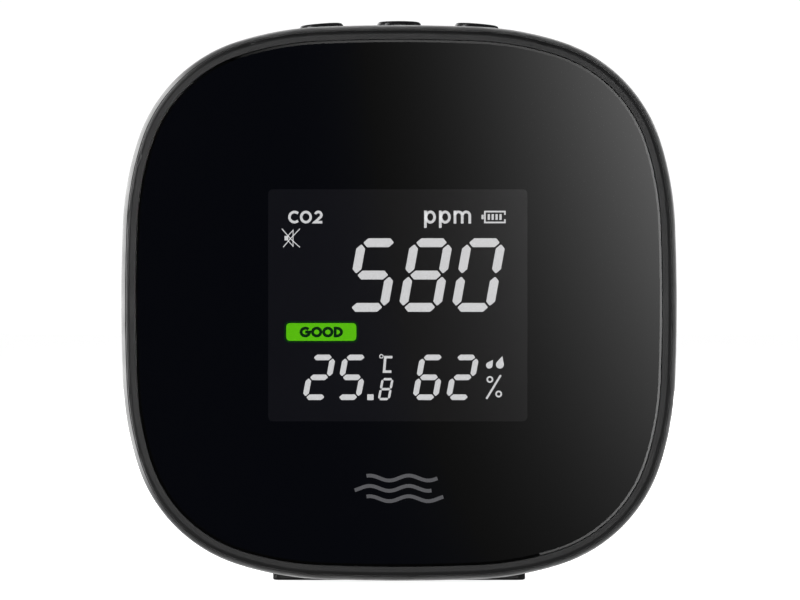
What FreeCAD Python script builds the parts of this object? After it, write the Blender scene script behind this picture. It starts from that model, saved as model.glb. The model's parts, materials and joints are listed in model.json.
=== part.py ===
"""Desktop carbon dioxide monitor, modelled as the pieces it is assembled from.

Millimetres. +X is to the right of someone facing the display, the display faces -Y and
+Z is up. The origin is on the table, under the middle of the body.
"""
import FreeCAD, Part
import math
import os
import Sketcher

Vector = FreeCAD.Vector

# Name, value and meaning of every driving dimension.
DIMENSIONS = (
    ("half_width", 47.5, "half the width and height of the body's widest section"),
    ("side_arc", 321.6, "radius of each nearly straight side of the outline"),
    ("shoulder_arc", 54, "radius between a side and a corner"),
    ("corner_arc", 26.29, "radius of each corner"),
    ("corner_centre", 19.65, "how far each corner's centre is from the outline's centre, along X and Z"),
    ("centre_height", 47.65, "height of the outline's centre above the table"),
    ("body_depth", 42, "lens face to back face"),
    ("wall", 2, "rear shell's wall"),
    ("widest_depth", 9, "widest section behind the lens face"),
    ("bulge_radius", 22, "rounding from the widest section in to the parting line"),
    ("draft_angle", 1.5, "taper of the side wall towards the back"),
    ("rear_radius", 10, "rounding of the back edge"),
    ("parting_depth", 2.5, "rear shell's edge behind the lens face"),
    ("parting_gap", 0.2, "shadow gap between the two housings"),
    ("lens_thickness", 1.6, "front lens"),
    ("lens_proud", 0.45, "how far the lens stands out of its bezel"),
    ("lens_bevel", 0.45, "bevel on the lens edge"),
    ("lens_inset", 2.9, "outline to lens edge"),
    ("recess_inset", 2.8, "outline to the edge of the lens recess"),
    ("tape_thickness", 0.2, "double-sided tape under the lens"),
    ("tape_inset", 3.5, "outline to tape edge"),
    ("rim_inset", 1.25, "outline to the bezel's side"),
    ("rim_round", 0.7, "rounding of the bezel's front edge"),
    ("cover_wall", 1.8, "front cover's wall behind the lens"),
    ("lip_inset", 3.5, "outline to the locating lip"),
    ("lip_width", 1.4, "locating lip's thickness"),
    ("lip_depth", 2.5, "locating lip's reach into the shell"),
    ("display_drop", 0.4, "display centre below the outline's centre"),
    ("display_shift", -0.2, "display centre from the outline's centre, along X"),
    ("display_gap", 0.15, "front polariser behind the lens tape"),
    ("glass_width", 48, "display cell's width"),
    ("front_glass_height", 47.6, "front glass, which has the contact ledges"),
    ("rear_glass_height", 42, "rear glass"),
    ("glass_thickness", 1.1, "each glass"),
    ("film", 0.2, "polariser, diffuser and reflector sheets"),
    ("filter_film", 0.1, "green filter behind the status bar"),
    ("guide_width", 46.4, "space for the light guide and its lamps"),
    ("guide_height", 41.2, "light guide"),
    ("guide_thickness", 2.6, "light guide"),
    ("lamp_space", 1, "strip beside the light guide for its lamps"),
    ("frame_width", 50.6, "display frame"),
    ("frame_height", 49.2, "display frame"),
    ("zebra_height", 22.6, "display centre to each elastomer strip"),
    ("zebra_thickness", 1.7, "elastomer strip"),
    ("zebra_width", 44, "elastomer strip"),
    ("board_standoff", 5.2, "front cover's wall to the main board"),
    ("board_thickness", 1.6, "main board"),
    ("board_width", 72, "main board"),
    ("board_height", 52, "main board"),
    ("board_corner", 12, "corner cut off the main board to clear a case post"),
    ("board_screw_across", 33, "main board's screws from the middle, along X"),
    ("board_screw_up", 12, "main board's screws from the middle, along Z"),
    ("case_screw_place", 28, "case screws from the outline's centre, along X and Z"),
    ("post_diameter", 7.2, "case screw posts"),
    ("post_joint", 13, "where the two sets of posts meet, behind the lens face"),
    ("screw_seat", 21, "case screws' head seat behind the lens face"),
    ("head_bore", 5.4, "counterbore for a case screw's head"),
    ("case_shank", 2.6, "case screw"),
    ("small_shank", 1.6, "board screws"),
    ("running_gap", 0.1, "clearance round a small screw or between assembled faces"),
    ("button_spacing", 13.5, "button pitch along X"),
    ("button_diameter", 7.7, "button cap"),
    ("button_gap", 0.2, "clearance round a button cap"),
    ("button_top", 96.4, "top of the centre button above the table"),
    ("side_button_drop", 0.42, "side buttons' middles below the centre button's top"),
    ("button_tilt", 4.5, "slope of the side buttons' tops, degrees"),
    ("button_round", 0.6, "rounding of a button's top edge"),
    ("flange_top", 91.9, "retaining flange's upper face above the table"),
    ("flange_thickness", 0.8, "retaining flange"),
    ("flange_diameter", 9, "retaining flange"),
    ("stem_diameter", 4, "button stem"),
    ("collar_diameter", 10, "guide collar round each button"),
    ("touch_gap", 0.05, "gap between faces that meet when a button is pressed"),
    ("button_board_top", 85, "button board's upper face above the table"),
    ("small_board", 1.2, "button board"),
    ("button_board_width", 50, "button board along X"),
    ("button_board_depth", 12, "button board along Y"),
    ("button_post", 22, "button board's posts from the middle, along X"),
    ("switch_width", 6, "tactile switch body"),
    ("switch_height", 3.4, "tactile switch body"),
    ("switch_plate", 0.2, "switch cover plate"),
    ("plunger_diameter", 3.5, "switch plunger"),
    ("plunger_height", 4.2, "switch plunger's top above the button board"),
    ("switch_travel", 0.35, "how far a switch presses"),
    ("sensor_across", -8, "gas sensor from the middle, along X"),
    ("sensor_up", -9.5, "gas sensor from the outline's centre, along Z"),
    ("sensor_width", 34, "sensor board"),
    ("sensor_height", 20, "sensor board"),
    ("sensor_standoff", 2.5, "pin header between the main board and the sensor board"),
    ("thin_board", 1, "sensor and power boards"),
    ("chamber_width", 30, "sensor's gas chamber"),
    ("chamber_height", 17, "sensor's gas chamber"),
    ("chamber_depth", 7.5, "sensor's gas chamber"),
    ("pin_pitch", 2.54, "pin header"),
    ("battery_width", 46, "pouch cell"),
    ("battery_height", 34, "pouch cell"),
    ("battery_thickness", 8, "pouch cell"),
    ("battery_up", 19.35, "pouch cell's middle from the outline's centre, along Z"),
    ("battery_tape", 0.4, "foam tape behind the pouch cell"),
    ("usb_height", 17, "USB-C socket's centre above the table"),
    ("usb_width", 8.94, "USB-C socket shell"),
    ("usb_thickness", 3.26, "USB-C socket shell"),
    ("usb_length", 7.35, "USB-C socket shell"),
    ("usb_recess", 0.7, "socket's mouth below the back face"),
    ("power_board_width", 26, "power board along X"),
    ("power_board_depth", 13.6, "power board along Y"),
    ("slot_width", 34, "vent slots"),
    ("slot_height", 1.8, "vent slots"),
    ("slot_pitch", 3.6, "vent slots"),
    ("slot_up", -20, "lowest vent slot from the outline's centre, along Z"),
    ("foot_width", 43.4, "foot along X"),
    ("foot_depth", 21, "foot along Y"),
    ("foot_front", 12, "foot's front behind the lens face"),
    ("foot_lift", 0.05, "foot's underside above the table"),
    ("plug_width", 38, "part of the foot that sits in the shell"),
    ("plug_depth", 17.6, "part of the foot that sits in the shell"),
    ("plug_top", 2.35, "top of the foot's plug above the table"),
    ("mat_width", 35, "rubber mat"),
    ("mat_depth", 15, "rubber mat"),
    ("mat_thickness", 0.8, "rubber mat"),
    ("foot_screw_place", 12, "foot screws from the middle, along X"),
)

doc = FreeCAD.newDocument("CarbonDioxideMonitor")
sheet = doc.addObject("Spreadsheet::Sheet", "Sizes")
for row, (alias, value, meaning) in enumerate(DIMENSIONS, start=1):
    sheet.set(f"A{row}", alias)
    sheet.set(f"B{row}", str(value))
    sheet.set(f"C{row}", meaning)
    sheet.setAlias(f"B{row}", alias)
doc.recompute()

# Places along Y, from the lens to the back face.
LENS_FACE = "-Sizes.body_depth / 2"
BEZEL_FACE = f"{LENS_FACE} + Sizes.lens_proud"
LENS_BACK = f"{LENS_FACE} + Sizes.lens_thickness"
RECESS_FLOOR = f"{LENS_BACK} + Sizes.tape_thickness"
COVER_BACK = f"{RECESS_FLOOR} + Sizes.cover_wall"
SHELL_EDGE = f"{LENS_FACE} + Sizes.parting_depth"
RIM_BACK = f"{SHELL_EDGE} - Sizes.parting_gap"
WIDEST = f"{LENS_FACE} + Sizes.widest_depth"
POLARISER = f"{RECESS_FLOOR} + Sizes.display_gap"
FRONT_GLASS = f"{POLARISER} + Sizes.film"
REAR_GLASS = f"{FRONT_GLASS} + Sizes.glass_thickness"
REAR_POLARISER = f"{REAR_GLASS} + Sizes.glass_thickness"
COLOUR_FILTER = f"{REAR_POLARISER} + Sizes.film"
DIFFUSER = f"{COLOUR_FILTER} + Sizes.filter_film"
LIGHT_GUIDE = f"{DIFFUSER} + Sizes.film"
REFLECTOR = f"{LIGHT_GUIDE} + Sizes.guide_thickness"
REFLECTOR_BACK = f"{REFLECTOR} + Sizes.film"
BOARD_FRONT = f"{COVER_BACK} + Sizes.board_standoff"
BOARD_BACK = f"{BOARD_FRONT} + Sizes.board_thickness"
SENSOR_BOARD = f"{BOARD_BACK} + Sizes.sensor_standoff"
CHAMBER = f"{SENSOR_BOARD} + Sizes.thin_board"
CHAMBER_BACK = f"{CHAMBER} + Sizes.chamber_depth"
POST_JOINT = f"{LENS_FACE} + Sizes.post_joint"
SCREW_SEAT = f"{LENS_FACE} + Sizes.screw_seat"
BACK_FACE = "Sizes.body_depth / 2"
BACK_WALL = f"{BACK_FACE} - Sizes.wall"
USB_MOUTH = f"{BACK_FACE} - Sizes.usb_recess"
USB_BACK = f"{USB_MOUTH} - Sizes.usb_length"
FOOT_FRONT = f"{LENS_FACE} + Sizes.foot_front"
FOOT_MIDDLE = f"{FOOT_FRONT} + Sizes.foot_depth / 2"

# Heights above the table.
MIDDLE = "Sizes.centre_height"
BUTTON_BOARD_BASE = "Sizes.button_board_top - Sizes.small_board"
SWITCH_TOP = "Sizes.button_board_top + Sizes.switch_height"
PLUNGER_TOP = "Sizes.button_board_top + Sizes.plunger_height"
FLANGE_BASE = "Sizes.flange_top - Sizes.flange_thickness"
POWER_BOARD_TOP = "Sizes.usb_height - Sizes.usb_thickness / 2"
POWER_BOARD_BASE = f"{POWER_BOARD_TOP} - Sizes.thin_board"

# The display's centre, and other places seen from the front, from the outline's centre.
DISPLAY = ("Sizes.display_shift", "-Sizes.display_drop")
SENSOR = ("Sizes.sensor_across", "Sizes.sensor_up")
BATTERY = ("0", "Sizes.battery_up")
BUZZER = ("24", "-14")
USB = ("0", "Sizes.usb_height - Sizes.centre_height")
LABEL = ("0", "24")
VENT = ("0", "Sizes.slot_up")
VENT_SLOTS = 6

# Body planes to sketch on: each looks along the named axis.
ALONG_X = "YZ_Plane"
ALONG_Y = "XZ_Plane"
ALONG_Z = "XY_Plane"

pieces = []
cuts = []


def number(expression):
    """The present value of a sheet expression."""
    return float(sheet.evalExpression(expression))


def bind(thing, **expressions):
    """Drive a document object's properties from the sheet."""
    for name, expression in expressions.items():
        thing.setExpression(name.replace("__", "."), expression)


def new_body(label):
    body = doc.addObject("PartDesign::Body", label)
    body.Label = label
    pieces.append(body)
    doc.recompute()
    return body


def piece(thing, label):
    """Name a finished object as one sub-part."""
    thing.Label = label
    pieces.append(thing)
    return thing


# Sketches. Those that look along Y have their origin at the outline's centre.

def sketch_on(body, name, plane, place, across="0"):
    """Sketch on one of the body's own planes, moved to a place along that plane's axis."""
    sketch = body.newObject("Sketcher::SketchObject", name)
    support = next(item for item in body.Origin.OriginFeatures if item.Role == plane)
    sketch.AttachmentSupport = [(support, "")]
    sketch.MapMode = "FlatFace"
    if plane == ALONG_Y:
        bind(sketch, AttachmentOffset__Base__x=across, AttachmentOffset__Base__y=MIDDLE)
        bind(sketch, AttachmentOffset__Base__z=f"-({place})")
    else:
        bind(sketch, AttachmentOffset__Base__x=across, AttachmentOffset__Base__z=place)
    return sketch


def constrain(sketch, kind, *elements):
    sketch.addConstraint(Sketcher.Constraint(kind, *elements))


def measure(sketch, kind, *elements):
    """Add a dimension whose value is the last argument, a sheet expression."""
    expression = elements[-1]
    index = sketch.addConstraint(Sketcher.Constraint(kind, *elements[:-1], number(expression)))
    sketch.setExpression(f"Constraints[{index}]", expression)


def place_point(sketch, element, point, x, y):
    """Fix a point of an element from the sketch's origin."""
    measure(sketch, "DistanceX", -1, 1, element, point, x)
    measure(sketch, "DistanceY", -1, 1, element, point, y)


def add_circle(sketch, diameter, x, y):
    centre = Vector(number(x), number(y), 0)
    circle = sketch.addGeometry(Part.Circle(centre, Vector(0, 0, 1), number(diameter) / 2))
    measure(sketch, "Diameter", circle, diameter)
    place_point(sketch, circle, 3, x, y)


def add_polygon(sketch, corners):
    """Straight-sided closed shape through corners given as pairs of expressions."""
    first = sketch.GeometryCount
    points = [Vector(number(x), number(y), 0) for x, y in corners]
    count = len(points)
    for index in range(count):
        sketch.addGeometry(Part.LineSegment(points[index], points[(index + 1) % count]))
    for index in range(count):
        constrain(sketch, "Coincident", first + index, 2, first + (index + 1) % count, 1)
    for index, (x, y) in enumerate(corners):
        place_point(sketch, first + index, 1, x, y)


def rectangle_corners(width, height, x="0", y="0"):
    left, right = f"{x} - ({width}) / 2", f"{x} + ({width}) / 2"
    low, high = f"{y} - ({height}) / 2", f"{y} + ({height}) / 2"
    return [(left, low), (right, low), (right, high), (left, high)]


def add_slot(sketch, width, height, x, y):
    """Slot with round ends, longer along the sketch's first axis."""
    reach = (number(width) - number(height)) / 2
    radius = number(height) / 2
    middle = Vector(number(x), number(y), 0)
    right, left = middle + Vector(reach, 0, 0), middle - Vector(reach, 0, 0)
    up = Vector(0, radius, 0)
    first = sketch.GeometryCount
    quarter = math.pi / 2
    sketch.addGeometry(Part.ArcOfCircle(Part.Circle(right, Vector(0, 0, 1), radius), -quarter, quarter))
    sketch.addGeometry(Part.LineSegment(right + up, left + up))
    sketch.addGeometry(Part.ArcOfCircle(Part.Circle(left, Vector(0, 0, 1), radius), quarter, 3 * quarter))
    sketch.addGeometry(Part.LineSegment(left - up, right - up))
    for index in range(4):
        constrain(sketch, "Tangent", first + index, 2, first + (index + 1) % 4, 1)
    measure(sketch, "Radius", first, f"({height}) / 2")
    constrain(sketch, "Equal", first, first + 2)
    place_point(sketch, first, 3, f"{x} + (({width}) - ({height})) / 2", y)
    place_point(sketch, first + 2, 3, f"{x} - (({width}) - ({height})) / 2", y)


def outline_arcs():
    """The rounded square as 16 tangent arcs: centre, radius, start and end angle, going round."""
    half, side = number("Sizes.half_width"), number("Sizes.side_arc")
    shoulder, corner = number("Sizes.shoulder_arc"), number("Sizes.corner_arc")
    place = number("Sizes.corner_centre")
    side_x = half - side
    gap = math.hypot(place - side_x, place)
    reach = side - shoulder
    along = (reach ** 2 - (shoulder - corner) ** 2 + gap ** 2) / (2 * gap)
    first = math.atan2(place, place - side_x) - math.acos(along / reach)
    bend_x, bend_y = side_x + reach * math.cos(first), reach * math.sin(first)
    second = math.atan2(place - bend_y, place - bend_x)
    square = math.pi / 2
    quarter = (
        (side_x, 0, side, -first, first),
        (bend_x, bend_y, shoulder, first, second),
        (place, place, corner, second, square - second),
        (bend_y, bend_x, shoulder, square - second, square - first),
    )
    arcs = []
    for turns in range(4):
        turn = turns * square
        for x, y, radius, start, end in quarter:
            centre = Vector(
                x * math.cos(turn) - y * math.sin(turn),
                x * math.sin(turn) + y * math.cos(turn), 0)
            arcs.append((centre, radius, start + turn, end + turn))
    return arcs


def add_outline(sketch, inset):
    """The body's outline, moved inwards by the inset all round."""
    first = sketch.GeometryCount
    arcs = outline_arcs()
    for centre, radius, start, end in arcs:
        circle = Part.Circle(centre, Vector(0, 0, 1), radius - number(inset))
        sketch.addGeometry(Part.ArcOfCircle(circle, start, end))
    for index in range(len(arcs)):
        constrain(sketch, "Tangent", first + index, 2, first + (index + 1) % len(arcs), 1)
    side, shoulder, corner = first, first + 1, first + 2
    measure(sketch, "Radius", side, f"Sizes.side_arc - ({inset})")
    measure(sketch, "Radius", shoulder, f"Sizes.shoulder_arc - ({inset})")
    measure(sketch, "Radius", corner, f"Sizes.corner_arc - ({inset})")
    constrain(sketch, "Equal", shoulder, first + 3)
    for turns in (4, 8, 12):
        constrain(sketch, "Equal", side, side + turns)
        constrain(sketch, "Equal", corner, corner + turns)
        constrain(sketch, "Equal", shoulder, shoulder + turns)
        constrain(sketch, "Equal", shoulder, first + 3 + turns)
    across = "(Sizes.side_arc - Sizes.half_width)"
    for turns, (x, y) in enumerate(((-1, 0), (0, -1), (1, 0), (0, 1))):
        place_point(sketch, side + 4 * turns, 3, f"{x} * {across}", f"{y} * {across}")
    for turns, (x, y) in enumerate(((1, 1), (-1, 1), (-1, -1), (1, -1))):
        place_point(sketch, corner + 4 * turns, 3, f"{x} * Sizes.corner_centre", f"{y} * Sizes.corner_centre")


# Profiles: each call returns a function that draws on a sketch.

def outline(inset="0"):
    return lambda sketch: add_outline(sketch, inset)


def discs(diameter, points=(("0", "0"),)):
    return lambda sketch: [add_circle(sketch, diameter, x, y) for x, y in points]


def bars(width, height, points=(("0", "0"),)):
    return lambda sketch: [
        add_polygon(sketch, rectangle_corners(width, height, x, y)) for x, y in points]


def polygon(corners):
    return lambda sketch: add_polygon(sketch, corners)


def slot(width, height, point=("0", "0")):
    return lambda sketch: add_slot(sketch, width, height, *point)


def together(*profiles):
    return lambda sketch: [profile(sketch) for profile in profiles]


def corners_at(across, up):
    """Four points, one in each quadrant."""
    return [(f"{x} * ({across})", f"{y} * ({up})") for x, y in ((1, 1), (-1, 1), (-1, -1), (1, -1))]


def either_side(across, up="0"):
    return [(f"-({across})", up), (f"{across}", up)]


# Features.

def extrusion(body, name, plane, profile, start, end, cut=False, across="0"):
    """Pad or pocket a profile from start to end along the plane's axis."""
    sketch = sketch_on(body, f"{name}Sketch", plane, start, across)
    profile(sketch)
    feature = body.newObject("PartDesign::Pocket" if cut else "PartDesign::Pad", name)
    feature.Profile = sketch
    feature.Reversed = cut != (plane == ALONG_Y)
    bind(feature, Length=f"{end} - ({start})")
    if cut:
        cuts.append(feature)
    doc.recompute()
    return feature


def pocket(body, name, plane, profile, start, end, across="0"):
    return extrusion(body, name, plane, profile, start, end, True, across)


def edges_at(feature, axis, place):
    """Names of the edges that lie flat at a place along X, Y or Z."""
    level = number(place)
    found = []
    for index, edge in enumerate(feature.Shape.Edges, start=1):
        box = edge.BoundBox
        low, high = getattr(box, f"{axis}Min"), getattr(box, f"{axis}Max")
        if abs(low - level) < 0.01 and abs(high - level) < 0.01:
            found.append(f"Edge{index}")
    return found


def upright_edges(feature, axis, least):
    """Names of the straight edges along an axis that are at least so long."""
    direction = {"X": Vector(1, 0, 0), "Y": Vector(0, 1, 0), "Z": Vector(0, 0, 1)}[axis]
    found = []
    for index, edge in enumerate(feature.Shape.Edges, start=1):
        straight = edge.Curve.TypeId == "Part::GeomLine"
        if not straight or edge.Length < least:
            continue
        if abs(edge.tangentAt(edge.FirstParameter).dot(direction)) > 0.999:
            found.append(f"Edge{index}")
    return found


def rounded(body, name, feature, edges, radius):
    fillet = body.newObject("PartDesign::Fillet", name)
    fillet.Base = (feature, edges)
    bind(fillet, Radius=radius)
    doc.recompute()
    return fillet


def box(x, y, z, width, depth, height):
    """Block centred on x and z that starts at y; z is from the outline's centre."""
    block = doc.addObject("Part::Box", "Block")
    bind(block, Length=width, Width=depth, Height=height)
    bind(block, Placement__Base__x=f"{x} - ({width}) / 2", Placement__Base__y=y)
    bind(block, Placement__Base__z=f"{MIDDLE} + {z} - ({height}) / 2")
    return block


def group(label, members):
    """Several separate solids that share one node."""
    compound = doc.addObject("Part::Compound", label)
    compound.Links = members
    return piece(compound, label)


def screws(label, plane, points, seat, side, head, head_height, shank, length):
    """Cross-recessed screws whose heads are on the side (1 or -1) of the seat along the axis."""
    body = new_body(label)
    top = f"{seat} + {side} * ({head_height})"
    tip = f"{seat} - {side} * ({length})"
    low, high = (seat, top) if side > 0 else (top, seat)
    extrusion(body, "Heads", plane, discs(head, points), low, high)
    low, high = (tip, seat) if side > 0 else (seat, tip)
    extrusion(body, "Shanks", plane, discs(shank, points), low, high)
    floor = f"{top} - {side} * 0.6 * ({head_height})"
    beyond = f"{top} + {side} * ({head_height})"
    low, high = (floor, beyond) if side > 0 else (beyond, floor)
    arm, slit = f"0.6 * ({head})", f"0.16 * ({head})"
    pocket(body, "RecessAcross", plane, bars(arm, slit, points), low, high)
    pocket(body, "RecessUp", plane, bars(slit, arm, points), low, high)
    return body


CASE_POINTS = corners_at("Sizes.case_screw_place", "Sizes.case_screw_place")
BOARD_POINTS = corners_at("Sizes.board_screw_across", "Sizes.board_screw_up")
BUTTON_POINTS = (("-Sizes.button_spacing", "0"), ("0", "0"), ("Sizes.button_spacing", "0"))
BUTTON_POSTS = either_side("Sizes.button_post")
POWER_POSTS = either_side("10", "9")
FOOT_POSTS = either_side("Sizes.foot_screw_place", FOOT_MIDDLE)
ZEBRA_POINTS = [
    (DISPLAY[0], f"{DISPLAY[1]} + Sizes.zebra_height"),
    (DISPLAY[0], f"{DISPLAY[1]} - Sizes.zebra_height"),
]


# The case.

def front_lens():
    body = new_body("front_lens")
    plate = extrusion(body, "Plate", ALONG_Y, outline("Sizes.lens_inset"), LENS_FACE, LENS_BACK)
    bevel = body.newObject("PartDesign::Chamfer", "Bevel")
    bevel.Base = (plate, edges_at(plate, "Y", LENS_FACE))
    bind(bevel, Size="Sizes.lens_bevel")
    doc.recompute()


def lens_adhesive():
    body = new_body("lens_adhesive")
    window = bars("Sizes.glass_width + 2", "Sizes.front_glass_height + 1.4", [DISPLAY])
    ring = together(outline("Sizes.tape_inset"), window)
    extrusion(body, "Ring", ALONG_Y, ring, LENS_BACK, RECESS_FLOOR)


def front_cover():
    """Bezel ring, wall behind the lens, locating lip, screw posts and display ribs."""
    body = new_body("front_cover")
    rim = extrusion(body, "Rim", ALONG_Y, outline("Sizes.rim_inset"), BEZEL_FACE, RIM_BACK)
    rounded(body, "RimEdge", rim, edges_at(rim, "Y", BEZEL_FACE), "Sizes.rim_round")
    extrusion(body, "FrontWall", ALONG_Y, outline("Sizes.lip_inset"), RECESS_FLOOR, COVER_BACK)
    lip = together(outline("Sizes.lip_inset"), outline("Sizes.lip_inset + Sizes.lip_width"))
    extrusion(body, "Lip", ALONG_Y, lip, RECESS_FLOOR, f"{COVER_BACK} + Sizes.lip_depth")
    pocket(body, "LensRecess", ALONG_Y, outline("Sizes.recess_inset"), f"{LENS_FACE} - 1", RECESS_FLOOR)
    window = bars("Sizes.glass_width + 0.6", "Sizes.front_glass_height + 0.4", [DISPLAY])
    pocket(body, "DisplayWindow", ALONG_Y, window, f"{RECESS_FLOOR} - 1", f"{COVER_BACK} + 1")
    inside = f"{COVER_BACK} - Sizes.cover_wall / 2"
    post_end = f"{POST_JOINT} - Sizes.running_gap"
    extrusion(body, "CasePosts", ALONG_Y, discs("Sizes.post_diameter", CASE_POINTS), inside, post_end)
    pilot = discs("Sizes.case_shank + Sizes.running_gap", CASE_POINTS)
    pocket(body, "CasePilots", ALONG_Y, pilot, f"{POST_JOINT} - 7", POST_JOINT)
    extrusion(body, "BoardPosts", ALONG_Y, discs("5", BOARD_POINTS), inside, BOARD_FRONT)
    pilot = discs("Sizes.small_shank + Sizes.running_gap", BOARD_POINTS)
    pocket(body, "BoardPilots", ALONG_Y, pilot, f"{BOARD_FRONT} - 4", f"{BOARD_FRONT} + 1")
    ribs = bars("1", "34", either_side("Sizes.frame_width / 2 + 1", DISPLAY[1]))
    extrusion(body, "DisplayRibs", ALONG_Y, ribs, inside, f"{COVER_BACK} + 3")


def shell_skin(body):
    """Drafted, bulged bucket with a round back edge, open towards the front."""
    front = f"{WIDEST} - Sizes.bulge_radius"
    extrusion(body, "Bulge", ALONG_Y, outline(), front, WIDEST)
    block = extrusion(body, "Bucket", ALONG_Y, outline(), WIDEST, BACK_FACE)
    bind(block, TaperAngle="-Sizes.draft_angle")
    doc.recompute()
    back = rounded(body, "BackEdge", block, edges_at(block, "Y", BACK_FACE), "Sizes.rear_radius")
    rounded(body, "BulgeEdge", back, edges_at(back, "Y", front), "Sizes.bulge_radius")
    everything = bars("4 * Sizes.half_width", "4 * Sizes.half_width")
    trimmed = pocket(body, "OpenFront", ALONG_Y, everything, f"{front} - 1", SHELL_EDGE)
    level = number(SHELL_EDGE)
    opening = []
    for index, face in enumerate(trimmed.Shape.Faces, start=1):
        middle = face.CenterOfMass
        if abs(middle.y - level) < 0.01 and abs(abs(face.normalAt(0, 0).y) - 1) < 0.001:
            opening.append(f"Face{index}")
    skin = body.newObject("PartDesign::Thickness", "Skin")
    skin.Base = (trimmed, opening)
    skin.Reversed = True
    bind(skin, Value="Sizes.wall")
    doc.recompute()


def shell_button_guides(body):
    inside_wall = "Sizes.centre_height + Sizes.half_width - 1.25"
    collar_base = "Sizes.flange_top + Sizes.touch_gap"
    collars = discs("Sizes.collar_diameter", BUTTON_POINTS)
    extrusion(body, "ButtonCollars", ALONG_Z, collars, collar_base, f"{inside_wall} - 0.4")
    holes = discs("Sizes.button_diameter + 2 * Sizes.button_gap", BUTTON_POINTS)
    pocket(body, "ButtonHoles", ALONG_Z, holes, f"{collar_base} - 1", f"{MIDDLE} + Sizes.half_width + 1")
    posts = discs("4.8", BUTTON_POSTS)
    extrusion(body, "ButtonBoardPosts", ALONG_Z, posts, "Sizes.button_board_top", f"{inside_wall} - 1.7")
    pilots = discs("Sizes.small_shank + Sizes.running_gap", BUTTON_POSTS)
    base = "Sizes.button_board_top"
    pocket(body, "ButtonBoardPilots", ALONG_Z, pilots, f"{base} - 1", f"{base} + 5")


def shell_back_openings(body):
    """Vent slots, sounder holes, USB-C opening and the label's recess."""
    first = slot("Sizes.slot_width", "Sizes.slot_height", VENT)
    cut = pocket(body, "VentSlot", ALONG_Y, first, f"{BACK_WALL} - 1", f"{BACK_FACE} + 1")
    vents = body.newObject("PartDesign::LinearPattern", "VentSlots")
    vents.Originals = [cut]
    vents.Direction = (cut.Profile[0], ["V_Axis"])
    vents.Occurrences = VENT_SLOTS
    bind(vents, Length=f"{VENT_SLOTS - 1} * Sizes.slot_pitch")
    body.Tip = vents
    doc.recompute()
    around = [(f"{BUZZER[0]} + 3.2 * cos({60 * turn})", f"{BUZZER[1]} + 3.2 * sin({60 * turn})")
              for turn in range(6)]
    pocket(body, "SounderHoles", ALONG_Y, discs("1.5", [BUZZER, *around]),
           f"{BACK_WALL} - 1", f"{BACK_FACE} + 1")
    opening = slot("Sizes.usb_width + 0.5", "Sizes.usb_thickness + 0.5", USB)
    pocket(body, "UsbOpening", ALONG_Y, opening, f"{BACK_WALL} - 1", f"{BACK_FACE} + 1")
    recess = slot("Sizes.usb_width + 4", "Sizes.usb_thickness + 4", USB)
    pocket(body, "PlugRecess", ALONG_Y, recess, f"{USB_MOUTH} + 0.1", f"{BACK_FACE} + 1")
    label = bars("34.4", "16.4", [LABEL])
    pocket(body, "LabelRecess", ALONG_Y, label, f"{BACK_FACE} - 0.2", f"{BACK_FACE} + 1")


def shell_mountings(body):
    """Case screw posts, battery rim, power board posts and the seat for the foot."""
    posts = discs("Sizes.post_diameter", CASE_POINTS)
    extrusion(body, "CasePosts", ALONG_Y, posts, POST_JOINT, f"{BACK_WALL} + 1")
    heads = discs("Sizes.head_bore", CASE_POINTS)
    pocket(body, "HeadBores", ALONG_Y, heads, SCREW_SEAT, f"{BACK_FACE} + 1")
    shanks = discs("Sizes.case_shank + 4 * Sizes.running_gap", CASE_POINTS)
    pocket(body, "ShankHoles", ALONG_Y, shanks, f"{POST_JOINT} - 1", f"{SCREW_SEAT} + 1")
    rim = together(
        bars("Sizes.battery_width + 2.4", "Sizes.battery_height + 2.4", [BATTERY]),
        bars("Sizes.battery_width + 0.4", "Sizes.battery_height + 0.4", [BATTERY]))
    extrusion(body, "BatteryRim", ALONG_Y, rim, f"{BACK_WALL} - 3.5", f"{BACK_WALL} + 0.5")
    extrusion(body, "PowerPosts", ALONG_Z, discs("4.8", POWER_POSTS), "2", POWER_BOARD_BASE)
    pilots = discs("Sizes.small_shank + Sizes.running_gap", POWER_POSTS)
    pocket(body, "PowerPilots", ALONG_Z, pilots, f"{POWER_BOARD_BASE} - 5", f"{POWER_BOARD_BASE} + 1")
    seat = bars("Sizes.plug_width + 4", "Sizes.plug_depth + 3", [("0", FOOT_MIDDLE)])
    extrusion(body, "FootSeat", ALONG_Z, seat, "Sizes.plug_top - 0.3", "Sizes.plug_top + 2")
    posts = discs("5.4", FOOT_POSTS)
    extrusion(body, "FootPosts", ALONG_Z, posts, "Sizes.plug_top + 1", "Sizes.plug_top + 6")
    plug = bars("Sizes.plug_width + 0.3", "Sizes.plug_depth + 0.3", [("0", FOOT_MIDDLE)])
    pocket(body, "FootPocket", ALONG_Z, plug, "-1", "Sizes.plug_top + Sizes.touch_gap")
    pilots = discs("2.1", FOOT_POSTS)
    pocket(body, "FootPilots", ALONG_Z, pilots, "Sizes.plug_top - 1", "Sizes.plug_top + 5")


def rear_shell():
    body = new_body("rear_shell")
    shell_skin(body)
    shell_mountings(body)
    shell_button_guides(body)
    shell_back_openings(body)


def case_screws():
    screws("case_screws", ALONG_Y, CASE_POINTS, SCREW_SEAT, 1, "4.8", "1.8", "Sizes.case_shank", "13.5")


def dust_screen():
    body = new_body("dust_screen")
    height = f"{VENT_SLOTS} * Sizes.slot_pitch"
    middle = f"Sizes.slot_up + {(VENT_SLOTS - 1) / 2} * Sizes.slot_pitch"
    sheet_profile = bars("Sizes.slot_width + 4", height, [("0", middle)])
    extrusion(body, "Sheet", ALONG_Y, sheet_profile, f"{BACK_WALL} - 0.3", BACK_WALL)


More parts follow.
